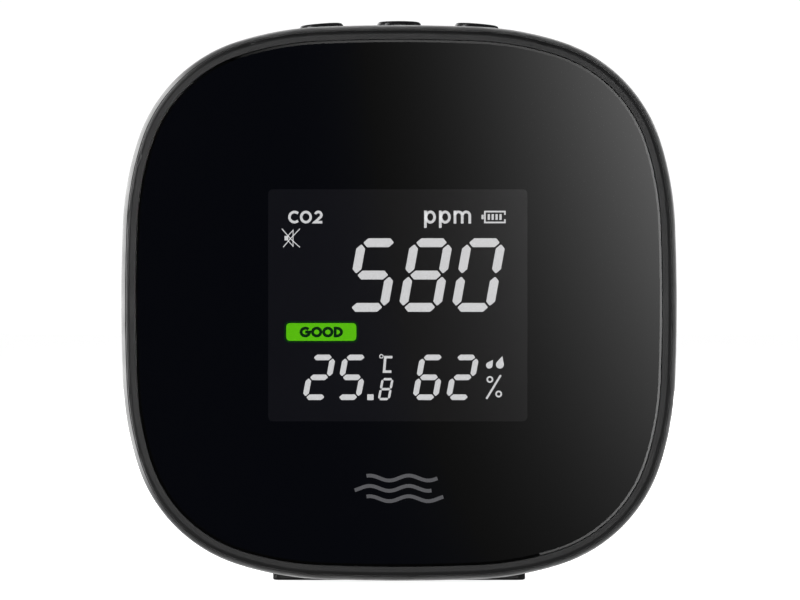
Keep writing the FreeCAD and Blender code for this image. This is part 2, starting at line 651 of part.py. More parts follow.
def rating_label():
    body = new_body("rating_label")
    sticker = bars("34", "16", [LABEL])
    extrusion(body, "Sticker", ALONG_Y, sticker, f"{BACK_FACE} - 0.2", f"{BACK_FACE} - 0.05")


def base_foot():
    """Plinth whose top follows the drafted underside of the shell and whose plug sits in it."""
    body = new_body("base_foot")
    middle = [("0", FOOT_MIDDLE)]
    skirt = bars("Sizes.foot_width", "Sizes.foot_depth", middle)
    block = extrusion(body, "Skirt", ALONG_Z, skirt, "Sizes.foot_lift", "4")
    block = rounded(body, "SkirtCorners", block, upright_edges(block, "Z", 3), "1.4")
    rounded(body, "SkirtEdge", block, edges_at(block, "Z", "Sizes.foot_lift"), "0.35")
    shell_space = pocket(body, "ShellSpace", ALONG_Y, outline(), WIDEST, f"{WIDEST} + 26")
    bind(shell_space, TaperAngle="-Sizes.draft_angle")
    doc.recompute()
    plug = bars("Sizes.plug_width", "Sizes.plug_depth", middle)
    extrusion(body, "Plug", ALONG_Z, plug, "Sizes.foot_lift + 0.3", "Sizes.plug_top")
    mat = bars("Sizes.mat_width + 0.3", "Sizes.mat_depth + 0.3", middle)
    pocket(body, "MatRecess", ALONG_Z, mat, "-1", "Sizes.mat_thickness")
    shanks = discs("2.4", FOOT_POSTS)
    pocket(body, "ScrewHoles", ALONG_Z, shanks, "0", "Sizes.plug_top + 1")


def foot_mat():
    body = new_body("foot_mat")
    mat = bars("Sizes.mat_width", "Sizes.mat_depth", [("0", FOOT_MIDDLE)])
    sheet_pad = extrusion(body, "Mat", ALONG_Z, mat, "0", "Sizes.mat_thickness")
    rounded(body, "MatCorners", sheet_pad, upright_edges(sheet_pad, "Z", 0.5), "1.5")
    heads = discs("4.4", FOOT_POSTS)
    pocket(body, "HeadSpaces", ALONG_Z, heads, "0.15", "Sizes.mat_thickness + 1")


def foot_screws():
    screws("foot_screws", ALONG_Z, FOOT_POSTS, "Sizes.mat_thickness", -1, "4", "0.6", "2", "5.5")


# The buttons and their switches.

def button(label, across, tilt, drop):
    """Cap, retaining flange and stem; the cap's top slopes by the tilt."""
    body = new_body(label)
    stem_base = f"{PLUNGER_TOP} + Sizes.touch_gap"
    middle = [(across, "0")]
    cap_top = f"Sizes.button_top - {drop}"
    extrusion(body, "Stem", ALONG_Z, discs("Sizes.stem_diameter", middle), stem_base, FLANGE_BASE)
    flange = discs("Sizes.flange_diameter", middle)
    extrusion(body, "Flange", ALONG_Z, flange, FLANGE_BASE, "Sizes.flange_top")
    cap = discs("Sizes.button_diameter", middle)
    extrusion(body, "Cap", ALONG_Z, cap, "Sizes.flange_top", f"{cap_top} + 1")
    sketch = body.newObject("Sketcher::SketchObject", "SlopeSketch")
    support = next(item for item in body.Origin.OriginFeatures if item.Role == ALONG_Y)
    sketch.AttachmentSupport = [(support, "")]
    sketch.MapMode = "FlatFace"
    bind(sketch, AttachmentOffset__Base__x=across, AttachmentOffset__Base__y=cap_top)
    bind(sketch, AttachmentOffset__Base__z="Sizes.button_diameter", AttachmentOffset__Rotation__Angle=tilt)
    add_polygon(sketch, rectangle_corners("20", "4", "0", "2"))
    slope = body.newObject("PartDesign::Pocket", "Slope")
    slope.Profile = sketch
    bind(slope, Length="2 * Sizes.button_diameter")
    cuts.append(slope)
    doc.recompute()
    highest = max(slope.Shape.Edges, key=lambda edge: edge.CenterOfMass.z)
    edges = [f"Edge{index}" for index, edge in enumerate(slope.Shape.Edges, start=1) if edge.isSame(highest)]
    rounded(body, "CapEdge", slope, edges, "Sizes.button_round")


def switch_plunger(label, across):
    body = new_body(label)
    middle = [(across, "0")]
    base = f"{PLUNGER_TOP} - 1.8"
    extrusion(body, "Foot", ALONG_Z, discs("4.4", middle), base, f"{base} + 0.4")
    extrusion(body, "Plunger", ALONG_Z, discs("Sizes.plunger_diameter", middle), f"{base} + 0.4", PLUNGER_TOP)


def button_board():
    body = new_body("button_board")
    base = BUTTON_BOARD_BASE
    sheet_profile = bars("Sizes.button_board_width", "Sizes.button_board_depth")
    panel = extrusion(body, "Panel", ALONG_Z, sheet_profile, base, "Sizes.button_board_top")
    rounded(body, "PanelCorners", panel, upright_edges(panel, "Z", 1), "1.5")
    holes = discs("Sizes.small_shank + 4 * Sizes.running_gap", BUTTON_POSTS)
    pocket(body, "ScrewHoles", ALONG_Z, holes, f"{base} - 1", "Sizes.button_board_top + 1")


def switch_bodies():
    body = new_body("switch_bodies")
    blocks = bars("Sizes.switch_width", "Sizes.switch_width", BUTTON_POINTS)
    extrusion(body, "Blocks", ALONG_Z, blocks, "Sizes.button_board_top", SWITCH_TOP)
    pocket(body, "Wells", ALONG_Z, discs("4.6", BUTTON_POINTS), f"{SWITCH_TOP} - 1.5", f"{SWITCH_TOP} + 1")


def switch_domes():
    """Snap domes, drawn at their pressed height so that the plungers never reach them."""
    body = new_body("switch_domes")
    floor = f"{SWITCH_TOP} - 1.5"
    extrusion(body, "Domes", ALONG_Z, discs("4.2", BUTTON_POINTS), floor, f"{floor} + 0.1")


def switch_covers():
    body = new_body("switch_covers")
    plates = bars("Sizes.switch_width", "Sizes.switch_width", BUTTON_POINTS)
    top = f"{SWITCH_TOP} + Sizes.switch_plate"
    extrusion(body, "Plates", ALONG_Z, plates, SWITCH_TOP, top)
    holes = discs("Sizes.plunger_diameter + 0.2", BUTTON_POINTS)
    pocket(body, "Holes", ALONG_Z, holes, f"{SWITCH_TOP} - 1", f"{top} + 1")


def button_board_screws():
    screws("button_board_screws", ALONG_Z, BUTTON_POSTS, BUTTON_BOARD_BASE, -1,
           "3.4", "1.2", "Sizes.small_shank", "5")


# The display.

def display_sheet(label, width, height, front, back):
    body = new_body(label)
    extrusion(body, "Sheet", ALONG_Y, bars(width, height, [DISPLAY]), front, back)


def display_layers():
    """Everything the display is stacked from, front to back."""
    glass, films = "Sizes.glass_width", "Sizes.glass_width - 2"
    low = "Sizes.rear_glass_height"
    display_sheet("front_polariser", films, low, POLARISER, FRONT_GLASS)
    display_sheet("lcd_front_glass", glass, "Sizes.front_glass_height", FRONT_GLASS, REAR_GLASS)
    display_sheet("lcd_rear_glass", glass, low, REAR_GLASS, REAR_POLARISER)
    guide = "Sizes.guide_width"
    display_sheet("rear_polariser", guide, "Sizes.guide_height", REAR_POLARISER, COLOUR_FILTER)
    display_sheet("backlight_diffuser", guide, "Sizes.guide_height", DIFFUSER, LIGHT_GUIDE)
    display_sheet("backlight_reflector", guide, "Sizes.guide_height", REFLECTOR, REFLECTOR_BACK)


def status_filter():
    """Green film behind the status bar, in the left half of the display."""
    body = new_body("status_filter")
    bar = bars("12.6", "3.6", [(f"{DISPLAY[0]} - 13", f"{DISPLAY[1]} - 4.5")])
    extrusion(body, "Film", ALONG_Y, bar, COLOUR_FILTER, DIFFUSER)


def backlight_guide():
    body = new_body("backlight_guide")
    width = "Sizes.guide_width - Sizes.lamp_space"
    middle = [(f"{DISPLAY[0]} - Sizes.lamp_space / 2", DISPLAY[1])]
    extrusion(body, "Guide", ALONG_Y, bars(width, "Sizes.guide_height", middle), LIGHT_GUIDE, REFLECTOR)


def backlight_lamps():
    body = new_body("backlight_lamps")
    across = f"{DISPLAY[0]} + (Sizes.guide_width - Sizes.lamp_space) / 2 + 0.1"
    places = [(across, f"{DISPLAY[1]} + {up}") for up in (-13, 0, 13)]
    lamps = bars("Sizes.lamp_space - 0.3", "3.2", places)
    extrusion(body, "Lamps", ALONG_Y, lamps, f"{LIGHT_GUIDE} + 0.3", f"{REFLECTOR} - 0.3")


def lcd_frame():
    """Tray that holds the rear glass, the light guide and the elastomer strips."""
    body = new_body("lcd_frame")
    front = f"{COVER_BACK} + Sizes.touch_gap"
    tray = bars("Sizes.frame_width", "Sizes.frame_height", [DISPLAY])
    extrusion(body, "Tray", ALONG_Y, tray, front, BOARD_FRONT)
    glass = bars("Sizes.glass_width + 0.3", "Sizes.rear_glass_height + 0.3", [DISPLAY])
    pocket(body, "GlassSeat", ALONG_Y, glass, f"{front} - 1", REAR_POLARISER)
    guide = bars("Sizes.guide_width + 0.4", "Sizes.guide_height + 0.4", [DISPLAY])
    pocket(body, "GuideSeat", ALONG_Y, guide, f"{front} - 1", REFLECTOR_BACK)
    strips = bars("Sizes.zebra_width + 0.4", "Sizes.zebra_thickness + 0.2", ZEBRA_POINTS)
    pocket(body, "StripSlots", ALONG_Y, strips, f"{front} - 1", f"{BOARD_FRONT} + 1")


def zebra_strips():
    body = new_body("zebra_strips")
    strips = bars("Sizes.zebra_width", "Sizes.zebra_thickness", ZEBRA_POINTS)
    extrusion(body, "Strips", ALONG_Y, strips, REAR_GLASS, BOARD_FRONT)


# The electronics.

def main_board():
    body = new_body("main_board")
    half_width, half_height = "Sizes.board_width / 2", "Sizes.board_height / 2"
    corners = []
    for x, y, first in ((1, -1, True), (1, 1, False), (-1, 1, True), (-1, -1, False)):
        cut_x = (f"{x} * ({half_width} - Sizes.board_corner)", f"{y} * {half_height}")
        cut_y = (f"{x} * {half_width}", f"{y} * ({half_height} - Sizes.board_corner)")
        corners.extend((cut_x, cut_y) if first else (cut_y, cut_x))
    extrusion(body, "Panel", ALONG_Y, polygon(corners), BOARD_FRONT, BOARD_BACK)
    holes = discs("Sizes.small_shank + 4 * Sizes.running_gap", BOARD_POINTS)
    pocket(body, "ScrewHoles", ALONG_Y, holes, f"{BOARD_FRONT} - 1", f"{BOARD_BACK} + 1")


def board_screws():
    screws("board_screws", ALONG_Y, BOARD_POINTS, BOARD_BACK, 1, "3.4", "1.2", "Sizes.small_shank", "5")


def board_parts():
    """What is soldered to the back of the main board."""
    piece(box("-14", BOARD_BACK, "11", "10", "1.4", "10"), "controller_chip")
    piece(box("3", BOARD_BACK, "10", "12", "1.4", "12"), "display_driver_chip")
    piece(box("-24.5", BOARD_BACK, "11", "5", "1.1", "3.2"), "clock_crystal")
    rows = [(x, up) for up in ("18.6", "2.6") for x in range(-20, 8, 4)]
    passives = [box(str(x), BOARD_BACK, up, "1.6", "0.7", "0.8") for x, up in rows]
    group("board_passives", passives)
    piece(box("0", BOARD_BACK, "21.55", "10", "3", "3.6"), "button_connector")
    piece(box("0", BOARD_BACK, "-22.65", "10", "3", "3.6"), "power_connector")
    piece(box("20", BOARD_BACK, "-1.65", "7", "4", "5"), "battery_connector")
    piece(box("20", f"{BOARD_BACK} + 4", "-1.65", "6.4", "4", "4.4"), "battery_plug")
    piece(box("28", BOARD_BACK, "3", "3", "1", "3"), "climate_sensor")


def buzzer():
    body = new_body("buzzer")
    top = f"{BOARD_BACK} + 5"
    can = extrusion(body, "Can", ALONG_Y, discs("12", [BUZZER]), BOARD_BACK, top)
    rounded(body, "CanEdge", can, edges_at(can, "Y", top), "0.6")
    pocket(body, "SoundHole", ALONG_Y, discs("2.2", [BUZZER]), f"{top} - 1", f"{top} + 1")


def header_points(count=5):
    """Pin positions of the two headers, under the sensor board's long edges."""
    rows = (f"{SENSOR[1]} + Sizes.sensor_height / 2 - 1.5", f"{SENSOR[1]} - Sizes.sensor_height / 2 + 1.5")
    middle = (count - 1) / 2
    return [(f"{SENSOR[0]} + {pin - middle} * Sizes.pin_pitch", up) for up in rows for pin in range(count)]


def sensor_headers():
    body = new_body("sensor_headers")
    edge = "Sizes.sensor_height / 2 - 1.5"
    places = [(SENSOR[0], f"{SENSOR[1]} + {edge}"), (SENSOR[0], f"{SENSOR[1]} - ({edge})")]
    strips = bars("5 * Sizes.pin_pitch", "Sizes.pin_pitch", places)
    extrusion(body, "Strips", ALONG_Y, strips, BOARD_BACK, SENSOR_BOARD)
    holes = bars("0.7", "0.7", header_points())
    pocket(body, "PinHoles", ALONG_Y, holes, f"{BOARD_BACK} - 1", f"{SENSOR_BOARD} + 1")


def sensor_pins():
    body = new_body("sensor_pins")
    extrusion(body, "Pins", ALONG_Y, bars("0.64", "0.64", header_points()), BOARD_BACK, SENSOR_BOARD)


def sensor_board():
    body = new_body("sensor_board")
    panel = bars("Sizes.sensor_width", "Sizes.sensor_height", [SENSOR])
    extrusion(body, "Panel", ALONG_Y, panel, SENSOR_BOARD, CHAMBER)


def sensor_chamber():
    body = new_body("sensor_chamber")
    block = bars("Sizes.chamber_width", "Sizes.chamber_height", [SENSOR])
    chamber = extrusion(body, "Chamber", ALONG_Y, block, CHAMBER, CHAMBER_BACK)
    rounded(body, "ChamberCorners", chamber, upright_edges(chamber, "Y", 5), "2")
    seat = bars("20", "9", [SENSOR])
    pocket(body, "MembraneSeat", ALONG_Y, seat, f"{CHAMBER_BACK} - 0.4", f"{CHAMBER_BACK} + 1")


def sensor_membrane():
    body = new_body("sensor_membrane")
    extrusion(body, "Membrane", ALONG_Y, bars("19.6", "8.6", [SENSOR]), f"{CHAMBER_BACK} - 0.4", CHAMBER_BACK)


def battery():
    cell = new_body("battery_cell")
    front = f"{BACK_WALL} - Sizes.battery_tape - Sizes.battery_thickness"
    back = f"{BACK_WALL} - Sizes.battery_tape"
    pouch = bars("Sizes.battery_width", "Sizes.battery_height", [BATTERY])
    block = extrusion(cell, "Pouch", ALONG_Y, pouch, front, back)
    block = rounded(cell, "PouchSides", block, upright_edges(block, "Y", 5), "2")
    rounded(cell, "PouchEdge", block, edges_at(block, "Y", front), "1.5")
    tape = new_body("battery_tape")
    extrusion(tape, "Tape", ALONG_Y, bars("38", "26", [BATTERY]), back, BACK_WALL)


def power_board():
    body = new_body("power_board")
    middle = f"{BACK_WALL} - 0.4 - Sizes.power_board_depth / 2"
    panel = bars("Sizes.power_board_width", "Sizes.power_board_depth", [("0", middle)])
    extrusion(body, "Panel", ALONG_Z, panel, POWER_BOARD_BASE, POWER_BOARD_TOP)
    holes = discs("Sizes.small_shank + 4 * Sizes.running_gap", POWER_POSTS)
    pocket(body, "ScrewHoles", ALONG_Z, holes, f"{POWER_BOARD_BASE} - 1", f"{POWER_BOARD_TOP} + 1")


def power_board_screws():
    screws("power_board_screws", ALONG_Z, POWER_POSTS, POWER_BOARD_TOP, 1,
           "3.4", "1.2", "Sizes.small_shank", "5")


def usb_socket():
    body = new_body("usb_socket")
    shell = slot("Sizes.usb_width", "Sizes.usb_thickness", USB)
    extrusion(body, "Shell", ALONG_Y, shell, USB_BACK, USB_MOUTH)
    mouth = slot("Sizes.usb_width - 0.6", "Sizes.usb_thickness - 0.6", USB)
    pocket(body, "Mouth", ALONG_Y, mouth, f"{USB_BACK} - 1", f"{USB_MOUTH} + 1")


def usb_tongue():
    body = new_body("usb_tongue")
    base = slot("Sizes.usb_width - 0.62", "Sizes.usb_thickness - 0.62", USB)
    root = f"{USB_BACK} + 1.9"
    extrusion(body, "Base", ALONG_Y, base, USB_BACK, root)
    extrusion(body, "Tongue", ALONG_Y, bars("6.6", "0.7", [USB]), root, f"{USB_MOUTH} - 0.7")


def charger_chip():
    height = f"{POWER_BOARD_TOP} + 0.45 - Sizes.centre_height"
    chip = box("8.5", f"{BACK_WALL} - 5.5", height, "3", "3", "0.9")
    piece(chip, "charger_chip")


# Wires and ribbons that the case holds: level run, bend, upright run.

def bent_path(body, corner_y, corner_z, level_run, upright_run, radius):
    """Path in a plane of constant X, from the level run's end round to the upright run's end."""
    path = sketch_on(body, "Path", ALONG_X, "0")
    bind(path, AttachmentOffset__Base__x=corner_y, AttachmentOffset__Base__y=corner_z)
    level, upright, bend = number(level_run), number(upright_run), abs(number(radius))
    across, up = math.copysign(bend, level), math.copysign(bend, upright)
    path.addGeometry(Part.LineSegment(Vector(level, 0, 0), Vector(across, 0, 0)))
    turn = Part.Circle(Vector(across, up, 0), Vector(0, 0, 1), bend)
    ends = sorted((math.atan2(-up, 0) % (2 * math.pi), math.atan2(0, -across) % (2 * math.pi)))
    if ends[1] - ends[0] > math.pi:
        ends = [ends[1], ends[0] + 2 * math.pi]
    path.addGeometry(Part.ArcOfCircle(turn, *ends))
    path.addGeometry(Part.LineSegment(Vector(0, up, 0), Vector(0, upright, 0)))
    arc = path.Geometry[1]
    level_first = (arc.StartPoint - Vector(across, 0, 0)).Length < 0.01
    path.addConstraint(Sketcher.Constraint("Tangent", 0, 2, 1, 1 if level_first else 2))
    path.addConstraint(Sketcher.Constraint("Tangent", 1, 2 if level_first else 1, 2, 1))
    constrain(path, "Horizontal", 0)
    constrain(path, "Vertical", 2)
    measure(path, "Radius", 1, radius)
    place_point(path, 0, 1, level_run, "0")
    place_point(path, 2, 2, "0", upright_run)
    return path


def bent_lead(label, section, across, corner_y, corner_z, level_run, upright_run, radius):
    """Sweep a section along the bent path, at one or more places along X."""
    runs = []
    for place in across:
        lead = doc.addObject("PartDesign::Body", f"{label}_run")
        doc.recompute()
        path = bent_path(lead, corner_y, corner_z, level_run, upright_run, radius)
        bind(path, AttachmentOffset__Base__z=place)
        start = sketch_on(lead, "Section", ALONG_Y, f"{corner_y} + {level_run}", place)
        bind(start, AttachmentOffset__Base__y=corner_z)
        section(start)
        sweep = lead.newObject("PartDesign::AdditivePipe", "Sweep")
        sweep.Profile = start
        sweep.Spine = (path, ["Edge1", "Edge2", "Edge3"])
        doc.recompute()
        runs.append(lead)
    if len(runs) > 1:
        return group(label, runs)
    return piece(runs[0], label)


def leads():
    bent_lead("battery_leads", discs("1.3"), ("18.9", "21.1"), f"{BACK_WALL} - 4.4", f"{MIDDLE} - 1.65",
              f"{BOARD_BACK} + 8 - ({BACK_WALL} - 4.4)",
              "Sizes.battery_up - Sizes.battery_height / 2 + 1.65", "3")
    bent_lead("button_ribbon", bars("8", "0.5"), ("0",), f"{BOARD_BACK} + 1.5", f"{BUTTON_BOARD_BASE} - 0.25",
              f"-4 - ({BOARD_BACK} + 1.5)",
              f"{MIDDLE} + 21.55 + 1.8 - ({BUTTON_BOARD_BASE} - 0.25)", "2.5")
    bent_lead("power_ribbon", bars("8", "0.5"), ("0",), f"{BOARD_BACK} + 1.5", f"{POWER_BOARD_TOP} + 0.25",
              f"6 - ({BOARD_BACK} + 1.5)",
              f"{MIDDLE} - 22.65 - 1.8 - ({POWER_BOARD_TOP} + 0.25)", "4")


def build():
    front_lens()
    lens_adhesive()
    front_cover()
    rear_shell()
    case_screws()
    dust_screen()
    rating_label()
    base_foot()
    foot_mat()
    foot_screws()
    button("left_button", "-Sizes.button_spacing", "Sizes.button_tilt", "Sizes.side_button_drop")
    button("centre_button", "0", "0", "0")
    button("right_button", "Sizes.button_spacing", "-Sizes.button_tilt", "Sizes.side_button_drop")
    switch_plunger("left_switch_plunger", "-Sizes.button_spacing")
    switch_plunger("centre_switch_plunger", "0")
    switch_plunger("right_switch_plunger", "Sizes.button_spacing")
    button_board()
    switch_bodies()
    switch_domes()
    switch_covers()
    button_board_screws()
    display_layers()
    status_filter()
    backlight_guide()
    backlight_lamps()
    lcd_frame()
    zebra_strips()
    main_board()
    board_screws()
    board_parts()
    buzzer()
    sensor_headers()
    sensor_pins()
    sensor_board()
    sensor_chamber()
    sensor_membrane()
    battery()
    power_board()
    power_board_screws()
    usb_socket()
    usb_tongue()
    charger_chip()
    leads()
    doc.recompute()


def check():
    """Stop if anything failed to build, or a cut removed nothing."""
    for thing in doc.Objects:
        if "Invalid" in thing.State or "Error" in thing.State:
            raise RuntimeError(f"{thing.Label} failed: {thing.State}")
        if thing.TypeId == "Sketcher::SketchObject" and not thing.FullyConstrained:
            raise RuntimeError(f"{thing.Label} is not fully constrained")
    for cut in cuts:
        if cut.Shape.Volume > cut.BaseFeature.Shape.Volume - 0.001:
            raise RuntimeError(f"{cut.Label} removes nothing")
    for thing in pieces:
        if thing.Shape.isNull() or not thing.Shape.isValid() or not thing.Shape.Solids:
            raise RuntimeError(f"{thing.Label} has no valid solid")


def export():
    os.makedirs("parts", exist_ok=True)
    for thing in pieces:
        thing.Shape.exportStep(f"parts/{thing.Label}.step")
        print(f"{thing.Label}: {len(thing.Shape.Solids)} solid(s), {thing.Shape.Volume:.1f} mm3")
    print(f"{len(pieces)} sub-parts")


build()
check()
export()
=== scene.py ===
"""Looks of the desktop carbon dioxide monitor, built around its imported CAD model.

Everything is in metres in the CAD's own frame: +X right, the display faces -Y, +Z up.
"""
import json
import math

import bmesh
import bpy
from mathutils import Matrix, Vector


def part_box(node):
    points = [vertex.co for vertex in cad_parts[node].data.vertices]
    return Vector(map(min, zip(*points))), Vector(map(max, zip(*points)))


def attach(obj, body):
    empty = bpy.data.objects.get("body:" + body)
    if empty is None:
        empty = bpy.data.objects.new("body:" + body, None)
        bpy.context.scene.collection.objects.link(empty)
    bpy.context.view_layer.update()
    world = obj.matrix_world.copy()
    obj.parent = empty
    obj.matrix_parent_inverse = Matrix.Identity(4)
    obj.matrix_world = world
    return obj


MM = 0.001
CASE = "case"
SIDES = ("left", "centre", "right")

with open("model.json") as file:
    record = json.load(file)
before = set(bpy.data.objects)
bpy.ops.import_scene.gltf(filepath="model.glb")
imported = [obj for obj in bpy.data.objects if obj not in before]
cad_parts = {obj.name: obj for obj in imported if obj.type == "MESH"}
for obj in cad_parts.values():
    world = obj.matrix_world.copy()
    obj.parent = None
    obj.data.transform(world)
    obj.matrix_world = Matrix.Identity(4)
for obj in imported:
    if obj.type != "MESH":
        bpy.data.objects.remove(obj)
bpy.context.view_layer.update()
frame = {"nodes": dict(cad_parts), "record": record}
nodes = frame["nodes"]

LENS_LOW, LENS_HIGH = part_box("front_lens")
GLASS_LOW, GLASS_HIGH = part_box("lcd_front_glass")
DISPLAY_X = (GLASS_LOW.x + GLASS_HIGH.x) / 2
DISPLAY_Z = (GLASS_LOW.z + GLASS_HIGH.z) / 2
DISPLAY_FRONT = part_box("front_polariser")[0].y
LENS_MIDDLE_Z = (LENS_LOW.z + LENS_HIGH.z) / 2


# Node materials.

def add_node(tree, kind, settings=None, **inputs):
    """Add a shader node. An input is a value or another node's output; _0 and _1 are sockets by number."""
    node = tree.nodes.new(f"ShaderNode{kind}")
    for name, value in (settings or {}).items():
        setattr(node, name, value)
    for name, value in inputs.items():
        socket = node.inputs[int(name[1:]) if name.startswith("_") else name.replace("_", " ")]
        if isinstance(value, bpy.types.NodeSocket):
            tree.links.new(value, socket)
        else:
            socket.default_value = value
    return node


class Surface:
    """A Principled material with procedural layers, laid out in metres on the object itself."""

    def __init__(self, name, colour, roughness, **sockets):
        self.material = bpy.data.materials.new(name)
        self.material.use_nodes = True
        self.material.diffuse_color = (*colour, 1)
        self.tree = self.material.node_tree
        self.shader = self.tree.nodes["Principled BSDF"]
        self.place = self.tree.nodes.new("ShaderNodeTexCoord").outputs["Object"]
        self.shader.inputs["Base Color"].default_value = (*colour, 1)
        self.shader.inputs["Roughness"].default_value = roughness
        for socket, value in sockets.items():
            self.shader.inputs[socket.replace("_", " ")].default_value = value
        self.colour = (*colour, 1)
        self.roughness = roughness

    def add(self, kind, settings=None, **inputs):
        return add_node(self.tree, kind, settings, **inputs)

    def glow(self, strength, colour=(1, 1, 1, 1)):
        """Give off light. The strength and the colour may each be another node's output."""
        for name, value in (("Emission Strength", strength), ("Emission Color", colour)):
            socket = self.shader.inputs[name]
            if isinstance(value, bpy.types.NodeSocket):
                self.tree.links.new(value, socket)
            else:
                socket.default_value = value
        return self

    def stretched(self, scale, turn=(0, 0, 0)):
        """The place, scaled and turned, so that a texture is drawn out along one direction."""
        return self.add("Mapping", Vector=self.place, Scale=scale, Rotation=turn).outputs["Vector"]

    def noise(self, size, detail=2.0, place=None):
        """Noise whose blobs are about so many metres across."""
        node = self.add("TexNoise", Vector=place or self.place, Scale=1 / size, Detail=detail)
        return node.outputs["Fac"]

    def cells(self, size, feature="F1"):
        """Distance from the nearest of scattered points about so many metres apart."""
        node = self.add("TexVoronoi", {"feature": feature}, Vector=self.place, Scale=1 / size)
        return node.outputs["Distance"]

    def bands(self, size, direction="X"):
        """Soft parallel bands, so many metres wide, one after another along a direction."""
        node = self.add("TexWave", {"bands_direction": direction}, Vector=self.place,
                        Scale=math.pi / (10 * size))
        return node.outputs["Fac"]

    def levels(self, value, low, high, to_low=0.0, to_high=1.0, clamp=True):
        """Rescale a value from one range to another."""
        node = self.add("MapRange", {"clamp": clamp}, Value=value, From_Min=low, From_Max=high,
                        To_Min=to_low, To_Max=to_high)
        return node.outputs["Result"]

    def math(self, operation, first, second=0.0):
        return self.add("Math", {"operation": operation}, _0=first, _1=second).outputs[0]

    def blended(self, factor, first, second):
        """Mix of two colours, each fixed or another node's output."""
        node = self.add("Mix", {"data_type": "RGBA"}, Factor=factor)
        for socket, value in ((node.inputs[6], first), (node.inputs[7], second)):
            if isinstance(value, bpy.types.NodeSocket):
                self.tree.links.new(value, socket)
            else:
                socket.default_value = (*value[:3], 1)
        return node.outputs[2]

    def paint(self, factor, other):
        """Blend the present colour towards another where the factor is 1."""
        socket = self.shader.inputs["Base Color"]
        present = socket.links[0].from_socket if socket.links else self.colour
        self.tree.links.new(self.blended(factor, present, other), socket)
        return self

    def mottle(self, size, amount):
        """Vary the colour's brightness softly."""
        low = [part * (1 - amount) for part in self.colour[:3]]
        high = [min(1, part * (1 + amount)) for part in self.colour[:3]]
        factor = self.levels(self.noise(size), 0.3, 0.7)
        self.tree.links.new(self.blended(factor, low, high), self.shader.inputs["Base Color"])
        return self

    def uneven(self, size, amount, place=None):
        """Vary the roughness."""
        value = self.levels(self.noise(size, 3.0, place), 0.3, 0.7,
                            max(0.02, self.roughness - amount), min(1, self.roughness + amount))
        self.tree.links.new(value, self.shader.inputs["Roughness"])
        return self

    def relief(self, height, depth, strength=1.0):
        """Add bumps so many metres deep on top of any there are."""
        socket = self.shader.inputs["Normal"]
        node = self.add("Bump", Height=height, Distance=depth, Strength=strength)
        if socket.links:
            self.tree.links.new(socket.links[0].from_socket, node.inputs["Normal"])
        self.tree.links.new(node.outputs["Normal"], socket)
        return self


def moulded(name, colour, roughness, grain=0.25 * MM, depth=0.006 * MM, **sockets):
    """Moulded plastic: fine spark-eroded grain, slight mottling and uneven sheen."""
    surface = Surface(name, colour, roughness, **sockets)
    surface.mottle(7 * MM, 0.08)
    surface.uneven(5 * MM, 0.04)
    surface.relief(surface.noise(grain, 3.0), depth)
    return surface


def edge_wear_and_highlight(surface, radius, colour, amount):
    """Edges painted lighter in patches, partly as rubbed wear and partly as a painted edge highlight, found
    by how far a rounded normal leaves the true one.
    """
    soft = surface.add("Bevel", {"samples": 4}, Radius=radius).outputs["Normal"]
    true = surface.add("NewGeometry").outputs["Normal"]
    along = surface.add("VectorMath", {"operation": "DOT_PRODUCT"}, _0=soft, _1=true).outputs["Value"]
    edge = surface.levels(along, 0.995, 0.9)
    patchy = surface.math("MULTIPLY", edge, surface.levels(surface.noise(3 * MM, 3.0), 0.4, 0.65, 0, amount))
    # Painted highlight and wear: the edges' colour is lightened in patches.
    surface.paint(patchy, colour)
    return surface


def metal(name, colour, roughness, brushed=(1, 1, 40)):
    """Plated or brushed metal: fine lines along one direction and small stains."""
    surface = Surface(name, colour, roughness, Metallic=1.0)
    lines = surface.noise(4 * MM, 4.0, surface.stretched(brushed))
    surface.relief(lines, 0.004 * MM)
    surface.uneven(1.5 * MM, 0.1, surface.stretched(brushed))
    stains = surface.levels(surface.noise(2.5 * MM), 0.55, 0.75, 0, 0.3)
    surface.paint(stains, [part * 0.7 for part in colour])
    return surface


def housing():
    """Dark satin case plastic, its edges painted lighter in patches as wear and a painted highlight."""
    surface = moulded("Housing", (0.0115, 0.0115, 0.0118), 0.34, Specular_IOR_Level=0.42)
    return edge_wear_and_highlight(surface, 0.25 * MM, (0.04, 0.04, 0.042), 0.4)


def button_plastic():
    """As the case, but smoother, with its rim painted lighter still, as more wear and a painted highlight."""
    surface = moulded("ButtonPlastic", (0.014, 0.014, 0.015), 0.25, 0.18 * MM, 0.003 * MM)
    return edge_wear_and_highlight(surface, 0.2 * MM, (0.06, 0.06, 0.063), 0.6)


def lens_glass():
    """Smoke-tinted lens, polished, with a hard coat that reflects more than bare acrylic, faintly wavy."""
    surface = Surface("SmokeLens", (0.52, 0.52, 0.525), 0.0, Transmission_Weight=1.0, IOR=1.8)
    return surface.relief(surface.noise(30 * MM, 0.0), 0.0006 * MM)


def printed_black():
    """Ink on the back of the lens, which bonds to it and so has no shine of its own."""
    surface = Surface("PrintedBlack", (0.0022, 0.0022, 0.0023), 0.6, Specular_IOR_Level=0.0)
    surface.mottle(4 * MM, 0.1)
    return surface


def display_panel():
    """Dark display cell with a trace of backlight through it."""
    surface = Surface("DisplayPanel", (0.002, 0.002, 0.0025), 0.12)
    glow = surface.levels(surface.noise(18 * MM, 1.0), 0.3, 0.7, 0, 1)
    surface.glow(1.0, surface.blended(glow, (0.0057, 0.0051, 0.0055), (0.0066, 0.006, 0.0064)))
    return surface.uneven(3 * MM, 0.03)


def lit_segment(name, colour, strength):
    """Lit part of the display: light through a fine diffuser."""
    surface = Surface(name, [part * 0.3 for part in colour], 0.5)
    grain = surface.levels(surface.noise(0.25 * MM, 2.0), 0.3, 0.7, 0, 1)
    dimmer, brighter = [part * 0.93 for part in colour], [min(1, part * 1.05) for part in colour]
    return surface.glow(strength, surface.blended(grain, dimmer, brighter))


